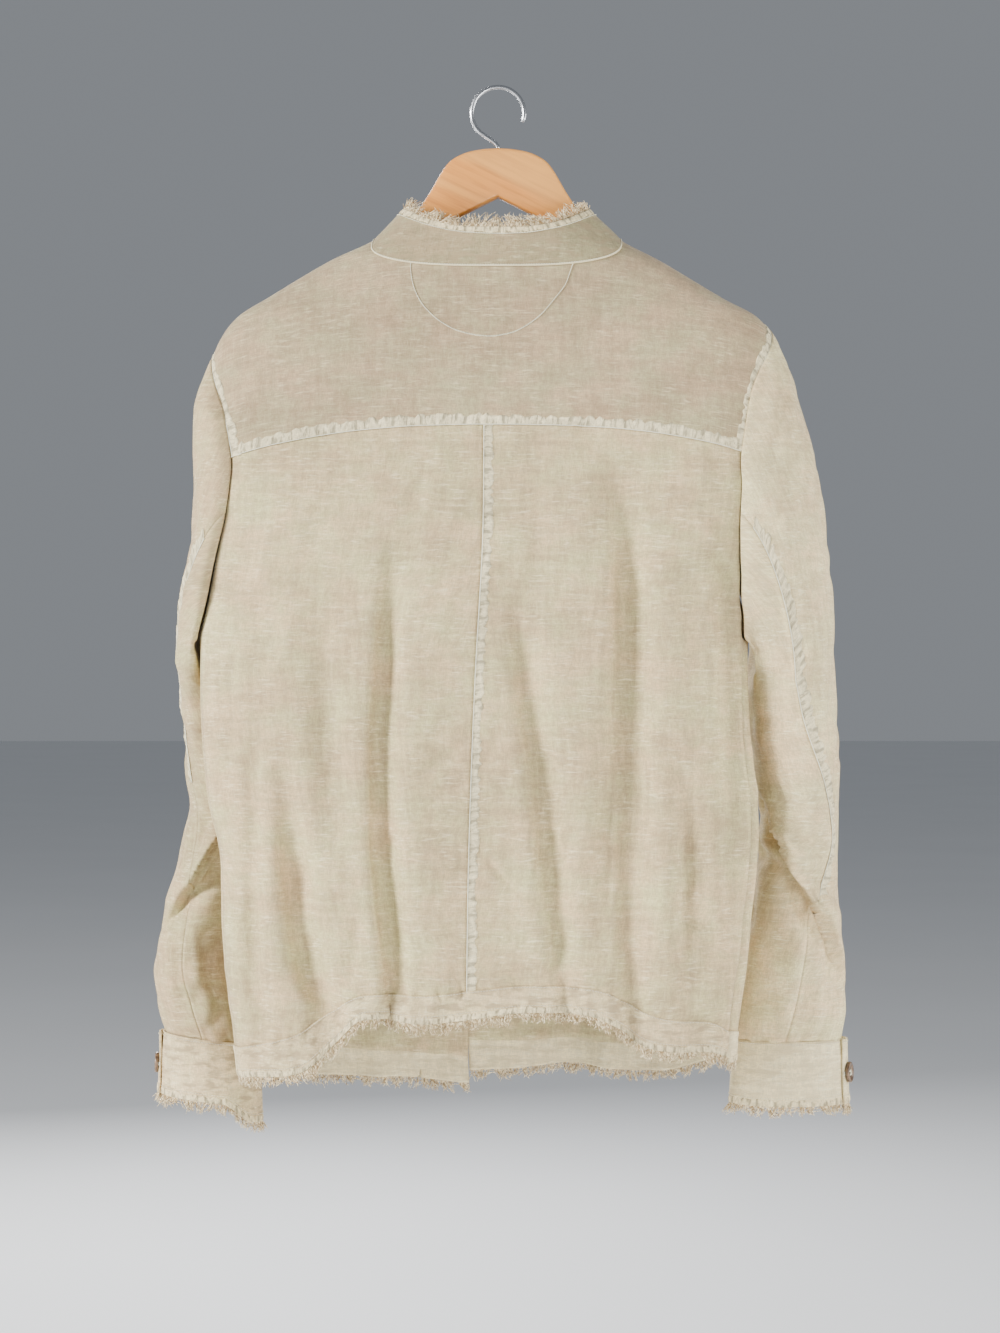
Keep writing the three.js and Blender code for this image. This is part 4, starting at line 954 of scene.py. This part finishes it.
sleeveParts = {
    "Top": (corner["front"], corner["sleeve"] + armholeRows, 64),
    "Under": (corner["sleeve"], corner["front"], 46),
}
sleevePoints = {}
for side, sign in sides.items():
    for part, span in sleeveParts.items():
        points = sleeveGrid(side, np.linspace(*span))
        relief, hang = sleeveRelief(side, points)
        level = unit(awayFromArm(side)(points) * np.array([1, 1, 0]))
        points = points - gridNormals(points) * sign * relief[..., None] + level * hang[..., None]
        sleevePoints[side, part] = points
        name, node = f"sleeve{side.capitalize()}{part}", f"sleeve_{side}_{part.lower()}"
        # Painted light and shade: the left sleeve takes the darker linen copy, the right sleeve the paler one
        material = shadedSleeveLinen if side == "left" else sleeveLinen
        place(name, node, points, material, ["back" + side.capitalize()], flip=-sign)

# Cuffs: a band round the wrist that laps over itself on the outer side
cuffs = {"left": {"start": -9, "lean": 9}, "right": {"start": 2, "lean": 0}}
cuffSize = {"tall": 54, "lapAngle": 26, "lap": 2.3, "spread": 2}


def cuffPoint(side, turn, v, out=0.0):
    angle = cuffs[side]["start"] + turn
    bottom = sleeves[side]["z"][-1] + 0 * angle
    base, centre = sleevePoint(side, angle, bottom), armMiddle(side, bottom)
    centre[..., 2] = base[..., 2]
    away = base - centre
    far = np.linalg.norm(away, axis=-1, keepdims=True)
    ramp = (cuffSize["lap"] + 0.7) * smooth(360 - cuffSize["lapAngle"], 360, turn)
    wave = 0.9 * softNoise(turn / 34, v * 1.3, 201) + 0.45 * softNoise(turn / 12, v * 2.6, 202)
    grow = 1 + (ramp + cuffSize["spread"] * v + out + wave * smooth(0, 0.25, v))[..., None] / far
    hang = smooth(0.25, 0.9, -np.cos(np.radians(angle))) * 1.7 - 0.2
    drop = 0.3 + v * (cuffSize["tall"] + cuffs[side]["lean"] * hang)
    return centre + away * grow - np.stack([0 * drop, 0 * drop, drop], axis=-1)


cuffPoints = {}
for side, sign in sides.items():
    rows, turns = np.meshgrid(
        np.linspace(-0.02, 1, 24), np.linspace(0, 360 + cuffSize["lapAngle"], 170), indexing="ij"
    )
    cuffPoints[side] = cuffPoint(side, turns, rows, 0.6)
    # Painted light: the right cuff takes the brightened linen, the left cuff the plainer hem linen
    name, material = side.capitalize(), hemLinen if side == "left" else litCuffHemLinen
    carriers = [f"sleeve{name}{part}" for part in sleeveParts]
    place("cuff" + name, "cuff_" + side, cuffPoints[side], material, carriers, thick=cloth["cuffThick"], flip=sign)
print("sleeves laid")

# Hanger
corners = ((1, 1), (-1, 1), (-1, -1), (1, -1))
arm = {
    "x": [0, 14, 30, 43, 59, 74, 103, 150, 196, 206],
    "top": [-50, -51, -55, -64, -90, -110, -131, -156, -184, -192],
    "under": [-91, -98, -106, -113, -122, -131, -150, -177, -204, -203],
}
hanger = {"thick": 13, "round": 3.2, "endFrom": 199, "endLong": 7, "turns": 5}


def hangerSection(x):  # a rounded upright slab at a place along the arms
    top, under = readColumn(arm, "top", abs(x), "x"), readColumn(arm, "under", abs(x), "x")
    past = max(0.0, abs(x) - hanger["endFrom"]) / hanger["endLong"]
    near = max(0.05, math.sqrt(max(0.0, 1 - past**2)))
    middle, tall, wide = (top + under) / 2, (top - under) / 2 * near, hanger["thick"] / 2 * near
    edge = min(hanger["round"], tall, wide)
    points = []
    for quarter, (sy, sz) in enumerate(corners):
        for turn in np.linspace(0, 90, hanger["turns"]):
            c, s = cosSin(90 * quarter + turn)
            points.append((x, sy * (wide - edge) + edge * c, middle + sz * (tall - edge) + edge * s))
    return points


along = np.concatenate([np.linspace(-206, -196, 9)[:-1], np.linspace(-196, 196, 199), np.linspace(196, 206, 9)[1:]])
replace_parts(loft("hangerWood", [hangerSection(x) for x in along], woodMaterial), "hanger_wood")

wire = {"radius": 1.9, "hookRadius": 22}
c, s = cosSin(np.linspace(-48, 200, 60))
arc = np.stack([wire["hookRadius"] * c, 0 * c, wire["radius"] + wire["hookRadius"] * (s - 1)], axis=-1)
neck = np.linspace(0, 1, 14)[:-1, None]
stem = swing(np.array([0, 0, -50.0]), np.array([0, 0, 16.0]), np.array([18.0, 0, 14.0]), arc[0], neck)
path = np.concatenate([stem, arc])
tip = np.minimum(1, np.sqrt(1 - np.clip((np.arange(len(path)) - len(path) + 3) / 2.2, 0, 0.98) ** 2))
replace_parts(makeTubes("hangerHook", [path], [wire["radius"] * tip], steelMaterial, 16), "hanger_hook")

# Buttons: turned discs with a dished middle, sewn through four holes
button = {
    "radius": 9, "thick": 3.2, "rim": 1.6, "dish": 1, "hole": 0.95, "spread": 1.9, "around": 40,
    "heights": (-185, -300, -415, -530, -645), "lift": 3.4, "cuffLift": 1.6, "cuffShare": 0.52, "thread": 0.27,
}


def buttonMesh(name, centre, normal, node):
    radius, thick, rim, dish = (button[key] for key in ("radius", "thick", "rim", "dish"))
    inner = radius - rim
    outline = [
        (0.001, 0), (radius - 0.9, 0), (radius - 0.2, 0.5), (radius, thick / 2), (radius - 0.25, thick - 0.45),
        (radius - 0.8, thick), (inner + 0.2, thick), (inner - 0.5, thick - 0.5), (inner - dish - 0.4, thick - dish),
        (0.001, thick - dish),
    ]
    turns = np.linspace(0, 2 * math.pi, button["around"], endpoint=False)
    sections = [[(r * math.cos(t), r * math.sin(t), h) for t in turns] for r, h in outline]
    made = loft(name, sections, hornMaterial)
    cutters = []
    for sx, sy in corners:
        bpy.ops.mesh.primitive_cylinder_add(vertices=16, radius=button["hole"] / 1000, depth=0.01)
        cutter = bpy.context.object
        cutter.location = (sx * button["spread"] / 1000, sy * button["spread"] / 1000, 0.0015)
        cutting = made.modifiers.new("hole", "BOOLEAN")
        cutting.object, cutting.solver = cutter, "EXACT"
        cutters.append(cutter)
    bpy.context.view_layer.update()
    holed = bpy.data.meshes.new_from_object(made.evaluated_get(bpy.context.evaluated_depsgraph_get()))
    made.modifiers.clear()
    made.data = holed
    for cutter in cutters:
        bpy.data.objects.remove(cutter)
    turn = Vector((0, 0, 1)).rotation_difference(Vector(normal)).to_matrix().to_4x4()
    turn.translation = Vector(centre) / 1000
    made.data.transform(turn)
    laid = lambda x, y, z: np.array([turn @ Vector(p / 1000) for p in np.stack([x, y, z], axis=-1)]) * 1000
    t = np.linspace(0, 1, 9)
    rise = (thick - dish) + 0.55 * np.sin(math.pi * t) ** 0.5 - 0.6 * (np.abs(2 * t - 1) ** 6)
    threads = []
    for start, end in ((0, 2), (1, 3), (0, 3), (1, 2)):
        x, y = (mix(corners[start][k] * button["spread"], corners[end][k] * button["spread"], t) for k in (0, 1))
        threads += [laid(x + shift, y + shift * 0.6, rise) for shift in (-0.35, 0, 0.35)]
    post = np.linspace(-1.6, 0.4, 4)
    threads.append(laid(0 * post, 0 * post, post))
    radii = [button["thread"]] * (len(threads) - 1) + [1.7]
    makeTubes(name + "Thread", threads, radii, stitchMaterial, 6)
    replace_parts(made, node)


buttonhole = {"long": 22, "wide": 1.7, "step": 0.55, "lift": 1.95, "cuffLift": 1.5, "thread": 0.24}


def sewButtonhole(name, slit, outward):  # short close stitches round a slit, bars at its ends
    slit = resample(slit, int(buttonhole["long"] / buttonhole["step"]))
    normal = outwardOf(slit, outward)
    aside = unit(np.cross(unit(np.gradient(slit, axis=0)), normal))
    wide, threads = buttonhole["wide"], []
    for k, (point, over, rise) in enumerate(zip(slit, aside, normal * 0.3)):
        bar = k < 3 or k > len(slit) - 4
        stitches = [((-wide, 0), (0, 1), (wide, 0))] if bar else [
            tuple((turned * far, up) for far, up in ((0.25, 0), (0.9, 1), (wide, 0))) for turned in (-1, 1)
        ]
        threads += [np.array([point + over * far + rise * up for far, up in stitch]) for stitch in stitches]
    makeTubes(name, threads, [buttonhole["thread"]] * len(threads), stitchMaterial, 4)


def onPlacket(z):  # angle of the button line
    return angleAt(readColumn(frontEdge, "x", z) - placketWide / 2, z, -1)


for k, z in enumerate(button["heights"]):
    normal = bodyNormal(onPlacket(z), z)
    buttonMesh(f"button{k + 1}", bodyPoint(onPlacket(z), z) + normal * button["lift"], normal, f"button_{k + 1}")
    heights = z + np.linspace(0.5, -0.5, 12) * buttonhole["long"]
    sewButtonhole(f"buttonhole{k + 1}", clothPoint(onPlacket(heights), heights, buttonhole["lift"]), forward)
for side, sign in sides.items():
    turn, down = np.array([360 + cuffSize["lapAngle"] * 0.35]), np.array([button["cuffShare"]])
    patch = [[cuffPoint(side, turn + dt, down + dv)[0] for dt in (-3, 3)] for dv in (-0.05, 0.05)]
    normal = unit(np.cross(patch[1][0] - patch[0][0], patch[0][1] - patch[0][0])) * sign
    seat = cuffPoint(side, turn, down)[0]
    if np.dot(normal, seat - sleevePoint(side, np.array([180.0]), seat[2])[0]) < 0:
        normal = -normal
    name = side.capitalize()
    buttonMesh("buttonCuff" + name, seat + normal * button["cuffLift"], normal, "button_cuff_" + side)
    turns = turn + np.linspace(-0.5, 0.5, 12) * buttonhole["long"] * 1.5
    slit = cuffPoint(side, turns, 0 * turns + down, buttonhole["cuffLift"])
    sewButtonhole("buttonholeCuff" + name, slit, normal)
print("hanger and buttons made")

# Sewn bands, edges and stitches, taken from the grids that they lie on


def inset(points, edge, offsets):  # lines of points at given distances from one edge of a grid
    grid = points.swapaxes(0, 1) if edge in ("start", "end") else points
    grid = grid[::-1] if edge in ("end", "bottom") else grid
    far = farAlong(grid)
    return np.stack([readLine(grid[:, k], far[:, k], offsets) for k in range(grid.shape[1])], axis=1)


def insetLine(points, edge, offset):
    return inset(points, edge, [offset])[0]


# Width of each sewn band, and the number of lines of points across it
bandWidths = {"yoke": 9.6, "arm": 9.0, "centre": 8.2, "sleeve": 11.0, "collar": 5.8, "hem": 5.6, "cuff": 5.8}
bandLines = 9


def besideLine(line, wide, outward, turn):  # lines beside a line on the body, laid on it
    line = resample(line, len(line) * 2)
    tangent = unit(np.gradient(smoothLine(line, 12), axis=0))
    aside = unit(np.cross(tangent, outwardOf(line, outward))) * turn
    return np.stack([clothPoint(*toBody(line + aside * offset)) for offset in np.linspace(0, wide, bandLines)])


def addBand(name, lines, outward, material, seed, span=(0, 1), lift=0.95, step=0.95):
    first, last = (int(share * (lines.shape[1] - 1)) for share in span)
    lines = lines[:, first : last + 1]
    count = int(farAlong(lines[0])[-1] / step)
    band = np.stack([resample(line, count) for line in lines], axis=1)
    normal = gridNormals(band)
    turned = 1 if (normal * outwardOf(band, outward)).sum() > 0 else -1
    along = farAlong(band[:, 0])[:, None]
    across = np.linspace(0, 1, bandLines)[None, :]
    ragged = 0.5 + 0.5 * softNoise(along / 3.1, 0 * along, seed)
    band = band[:, :1] + (band - band[:, :1]) * (0.78 + 0.34 * ragged)[..., None]
    rise = lift * (1 - smooth(0.72 + 0.22 * ragged, 1.03, across) * 1.15)
    rungs = 0.42 * softNoise(along / 2.1, across * 1.1, seed + 1)
    rungs = rungs + 0.2 * softNoise(along / 1.1, across * 2, seed + 2)
    rise = rise + rungs * smooth(0, 0.3, across) * smooth(1, 0.8, across) - 0.2
    band = band + normal * turned * rise[..., None]
    makeShell(name, band, material, cloth["bandThick"], turned, "along")
    cord = resample(lines[0], max(2, count // 2))
    return cord + outwardOf(cord, outward) * (lift + 0.15)


def edgeBand(name, points, edge, wide, *settings, **more):
    return addBand(name, inset(points, edge, np.linspace(0, wide, bandLines)), *settings, **more)


def addStitches(name, lines, outward, pitch=2.4, long=1.7, thick=0.24, sink=0.12):
    threads = []
    arch = np.array([-0.25, 0.2, 0.2, -0.25])[:, None] + sink
    for line in lines:
        far = farAlong(line)
        for start in np.arange(0.4, far[-1] - long, pitch):
            stitch = readLine(line, far, np.linspace(start, start + long, 4))
            threads.append(stitch + outwardOf(stitch, outward) * arch)
    makeTubes(name, threads, [thick] * len(threads), stitchMaterial)


yokeShare = 43 / (yokePoints.shape[1] - 1)  # columns of each armhole, at both ends of the yoke's lower edge
span = (yokeShare, 1 - yokeShare)
edges = [edgeBand("yokeBand", yokePoints, "bottom", bandWidths["yoke"], backward, bandLinen, 301, span, 1.1)]
awayFromBody = lambda p: p * np.array([0.25, 3, 0]) + np.array([0, 30, 60])
for side, sign in sides.items():
    angles, heights = armhole(side, np.linspace(-0.15, corner["back"], 90) + armholeRows)
    lines = besideLine(clothPoint(onSide(side, angles), heights), bandWidths["arm"], awayFromBody, -sign)
    edges.append(addBand("armBand" + side.capitalize(), lines, awayFromBody, bandLinen, 311, lift=1.2))
points = clothPoint(*grids["back", "right"])
edges.append(edgeBand("centreBand", points, "end", bandWidths["centre"], backward, bandLinen, 321, (0.004, 1), 1.0))
for side, span in (("left", (0.09, 0.56)), ("right", (0.05, 0.74))):
    name, points, away = "sleeveBand" + side.capitalize(), sleevePoints[side, "Top"], awayFromArm(side)
    edges.append(edgeBand(name, points, "end", bandWidths["sleeve"], away, bandLinen, 331, span, 1.1))
makeTubes("bandEdges", [smoothLine(edge, 2) for edge in edges], [0.42] * len(edges), stitchMaterial, 6)
print("bands sewn")

# Ladder gathers along the raw edges, and the stitches at the neck
awayFromNeck = lambda p: p * np.array([0.4, 1, 0]) + np.array([0, 0, 2])
hemFacing = {name: backward if name == "Back" else forward for name in hems}
edgeBand("collarLadder", collarGrid, "bottom", bandWidths["collar"], awayFromNeck, ladderLinen, 341, step=0.8)
for name, points in hems.items():
    edgeBand("hemLadder" + name, points, "bottom", bandWidths["hem"], hemFacing[name], ladderLinen, 351, step=0.9)
for side in sides:
    name, away = "cuffLadder" + side.capitalize(), awayFromArm(side)
    edgeBand(name, cuffPoints[side], "bottom", bandWidths["cuff"], away, ladderLinen, 361, lift=1.05, step=0.9)


def liftedFrom(line, outward, height):
    return line + unit(outward(line)) * height


footEdge = smoothLine(liftedFrom(insetLine(collarGrid, "top", 0.4), awayFromNeck, 0.5), 2)
makeTubes("collarFootEdge", [resample(footEdge, 260)], [0.75], bandLinen, 8)
neckLines = [
    liftedFrom(insetLine(collarGrid, edge, offset), awayFromNeck, height)
    for edge, offset, height in (("top", 1.0, 0.85), ("bottom", 5.6, 0.95))
]
addStitches("neckStitches", neckLines, awayFromNeck, 2.1, 1.8, 0.42, 0.2)

# Half-moon stitched on the yoke, traced in x and z, then the rows of stitches on hems, cuffs and plackets
halfMoon = {
    "x": [72, 72, 69, 62.5, 50, 36, 21, 5, -12, -25, -36, -47.5, -56, -60, -62.5],
    "z": [-147, -161, -174.5, -187.5, -200, -208.5, -212.5, -214, -211, -204, -195.5, -181, -170.5, -156.5, -150],
}
moon = np.stack([np.array(halfMoon[key], float) for key in ("x", "z")], axis=-1)
moon = smoothLine(resample(moon, 160), 30)
moon = clothPoint(angleAt(moon[:, 0], moon[:, 1]), moon[:, 1], 0.85)
moonLines = np.stack([moon + np.array([0, -0.5, shift]) for shift in np.linspace(0.8, -0.8, 5)], axis=1)
makeShell("yokeWorn", moonLines, bandLinen, cloth["bandThick"], weave="along")
addStitches("yokeStitches", [moon], backward, 2.3, 2.0, 0.42, 0.1)
hemLines = [insetLine(points, "bottom", 6.2) + np.array(hemFacing[name]) for name, points in hems.items()]
hemLines.append(insetLine(hems["Back"], "top", 1.2) + np.array([0, 0.95, 0]))
addStitches("hemStitches", hemLines, (0, 0, 0))
for side in sides:
    name, away = side.capitalize(), awayFromArm(side)
    lines = [insetLine(cuffPoints[side], edge, offset) for edge, offset in (("top", 2.2), ("bottom", 6.8))]
    addStitches("cuffStitches" + name, [liftedFrom(line, away, 1.05) for line in lines], away)
    lines = [insetLine(placketPoints[side], edge, offset) for edge, offset in (("start", 1.6), ("end", 2.6))]
    addStitches("placketStitches" + name, [line - np.array([0, 0.75, 0]) for line in lines], (0, 0, 0))
print("stitches laid")

# Frayed raw edges: tousled warp threads in clumps, and some loose weft threads along them
fray = {"perMillimetre": 2.6, "thick": 0.33, "curl": 1.9, "spread": 0.55, "clump": 3.2, "collar": 13, "edge": 9.5}


def addFray(name, grid, outward, long, node, seed):  # from the grid's last row, on past its end
    random = np.random.default_rng(seed)
    points, run = grid[-1], unit(grid[-1] - grid[-2])
    far = farAlong(points)
    length = far[-1]
    tangent = unit(np.gradient(points, axis=0))
    away = outwardOf(points, outward)
    threads, radii = [], []
    clumps = np.sort(random.uniform(0, length, int(length / fray["clump"])))
    for place in random.uniform(0, length, int(length * fray["perMillimetre"])):
        clump = clumps[np.argmin(np.abs(clumps - place))]
        key = math.sin(clump * 12.9898) * 43758.5453
        lean = (key - math.floor(key) - 0.5) * 2
        grow = long * (0.55 + 0.45 * abs(math.sin(clump * 3.7))) * random.uniform(0.55, 1.15)
        root, down, beside, face = (readLine(values, far, place) for values in (points, run, tangent, away))
        pullIn = (clump - place) * random.uniform(0.2, 0.8)
        sway = lean * fray["spread"] + random.normal(0, 0.2)
        face = face * random.normal(0.08, 0.22)
        bendA, bendB = random.normal(0, fray["curl"], 2)
        t = np.linspace(0, 1, 6)[:, None]
        line = root - down * 1.2 + down * t * (grow + 1.2) + beside * (pullIn * t + sway * grow * t**1.6)
        line = line + face * grow * t**1.4 + beside * bendA * np.sin(math.pi * t * 1.3) * t + face * bendB * t * t * 2
        threads.append(line)
        radii.append(fray["thick"] * random.uniform(0.75, 1.25) * np.array([1, 1, 0.95, 0.9, 0.8, 0.5]))
    for row in range(3):
        start = 0.0
        while start < length:
            piece = random.uniform(25, 120)
            t = np.linspace(start, min(start + piece, length), max(6, int(piece / 2.2)))
            wave = 0.8 * softNoise(t / 6, 0 * t + row, seed + row) + 0.35 * softNoise(t / 2.4, 0 * t, seed + 9)
            down = run[np.searchsorted(far, t).clip(0, len(run) - 1)]
            threads.append(readLine(points + run * (0.8 + row * 1.3), far, t) + down * wave[:, None])
            radii.append(np.full(len(t), fray["thick"] * 0.9))
            start += piece + random.uniform(0, 16)
    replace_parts(makeTubes(name, threads, radii, threadMaterial), node)


addFray("frayCollar", collarGrid, awayFromNeck, fray["collar"], "fray_collar", 401)
for name, points in hems.items():
    node = "fray_hem_back" if name == "Back" else "fray_hem_front_" + name[5:].lower()
    addFray("frayHem" + name, points, hemFacing[name], fray["edge"], node, 411)
for side in sides:
    name, away = "frayCuff" + side.capitalize(), awayFromArm(side)
    addFray(name, cuffPoints[side], away, fray["edge"], "fray_cuff_" + side, 421)
print("edges frayed")

# What is sewn on each cloth piece, listed by the piece it lies on
sewnOn = {
    "yokeCloth": ["yokeBand", "armBandLeft", "armBandRight", "bandEdges", "yokeWorn", "yokeStitches"],
    "backRight": ["centreBand"],
    "collarBand": ["collarLadder", "collarFootEdge", "neckStitches", "frayCollar"],
    "hemBack": ["hemLadderBack", "hemStitches", "frayHemBack"],
}
onCuff = ("cuffLadder", "cuffStitches", "frayCuff", "buttonCuff", "buttonholeCuff")
for name in ("Left", "Right"):
    sewnOn["sleeve" + name + "Top"] = ["sleeveBand" + name]
    sewnOn["hemFront" + name] = ["hemLadderFront" + name, "frayHemFront" + name]
    sewnOn["cuff" + name] = [start + name for start in onCuff]
    sewnOn["placket" + name] = ["placketStitches" + name]
sewnOn["placketRight"] += [f"{start}{k}" for start in ("button", "buttonhole") for k in range(1, 6)]

# Pale studio: a large soft light from the photo's upper left, weaker ones around
scene = bpy.context.scene
world = bpy.data.worlds.new("studio")
world.use_nodes = True
world.node_tree.nodes["Background"].inputs[0].default_value = linear(214, 220, 228)
world.node_tree.nodes["Background"].inputs[1].default_value = 0.34
scene.world = world
lamps = [
    {"name": "keyLight", "place": (4.5, 2.1, 0.95), "size": 1.2, "power": 600},
    {"name": "fillLight", "place": (-1.5, 2.5, -0.95), "size": 1.2, "power": 68},
    {"name": "rimLight", "place": (-2.6, 0.4, -0.3), "size": 1.0, "power": 60},
    {"name": "frontLight", "place": (0.7, -2.6, 0.5), "size": 1.2, "power": 92},
]
for lamp in lamps:
    lightData = bpy.data.lights.new(lamp["name"], "AREA")
    lightData.size = lamp["size"]
    lightData.energy = lamp["power"]
    light = bpy.data.objects.new(lamp["name"], lightData)
    scene.collection.objects.link(light)
    light.location = lamp["place"]
    light.rotation_euler = (Vector((0, 0, -0.45)) - light.location).to_track_quat("-Z", "Y").to_euler()

floorMaterial, tree, shader, floorPlace = newMaterial("palePlainFloor")
grey = stretchedNoise(floorPlace, (1.4, 1.4, 1.4), 2)
setShader(tree, shader, blendColours(grey, linear(228, 229, 230), linear(234, 235, 236)), Roughness=0.8)
floorMesh = bpy.data.meshes.new("floor")
reach = 30
floorMesh.from_pydata([(x * reach, y * reach, 0) for x, y in corners[2:] + corners[:2]], [], [(0, 1, 2, 3)])
floorMesh.materials.append(floorMaterial)
floor = bpy.data.objects.new("floor", floorMesh)
scene.collection.objects.link(floor)
floor.location.z = view["floorHeight"]
print("studio set")
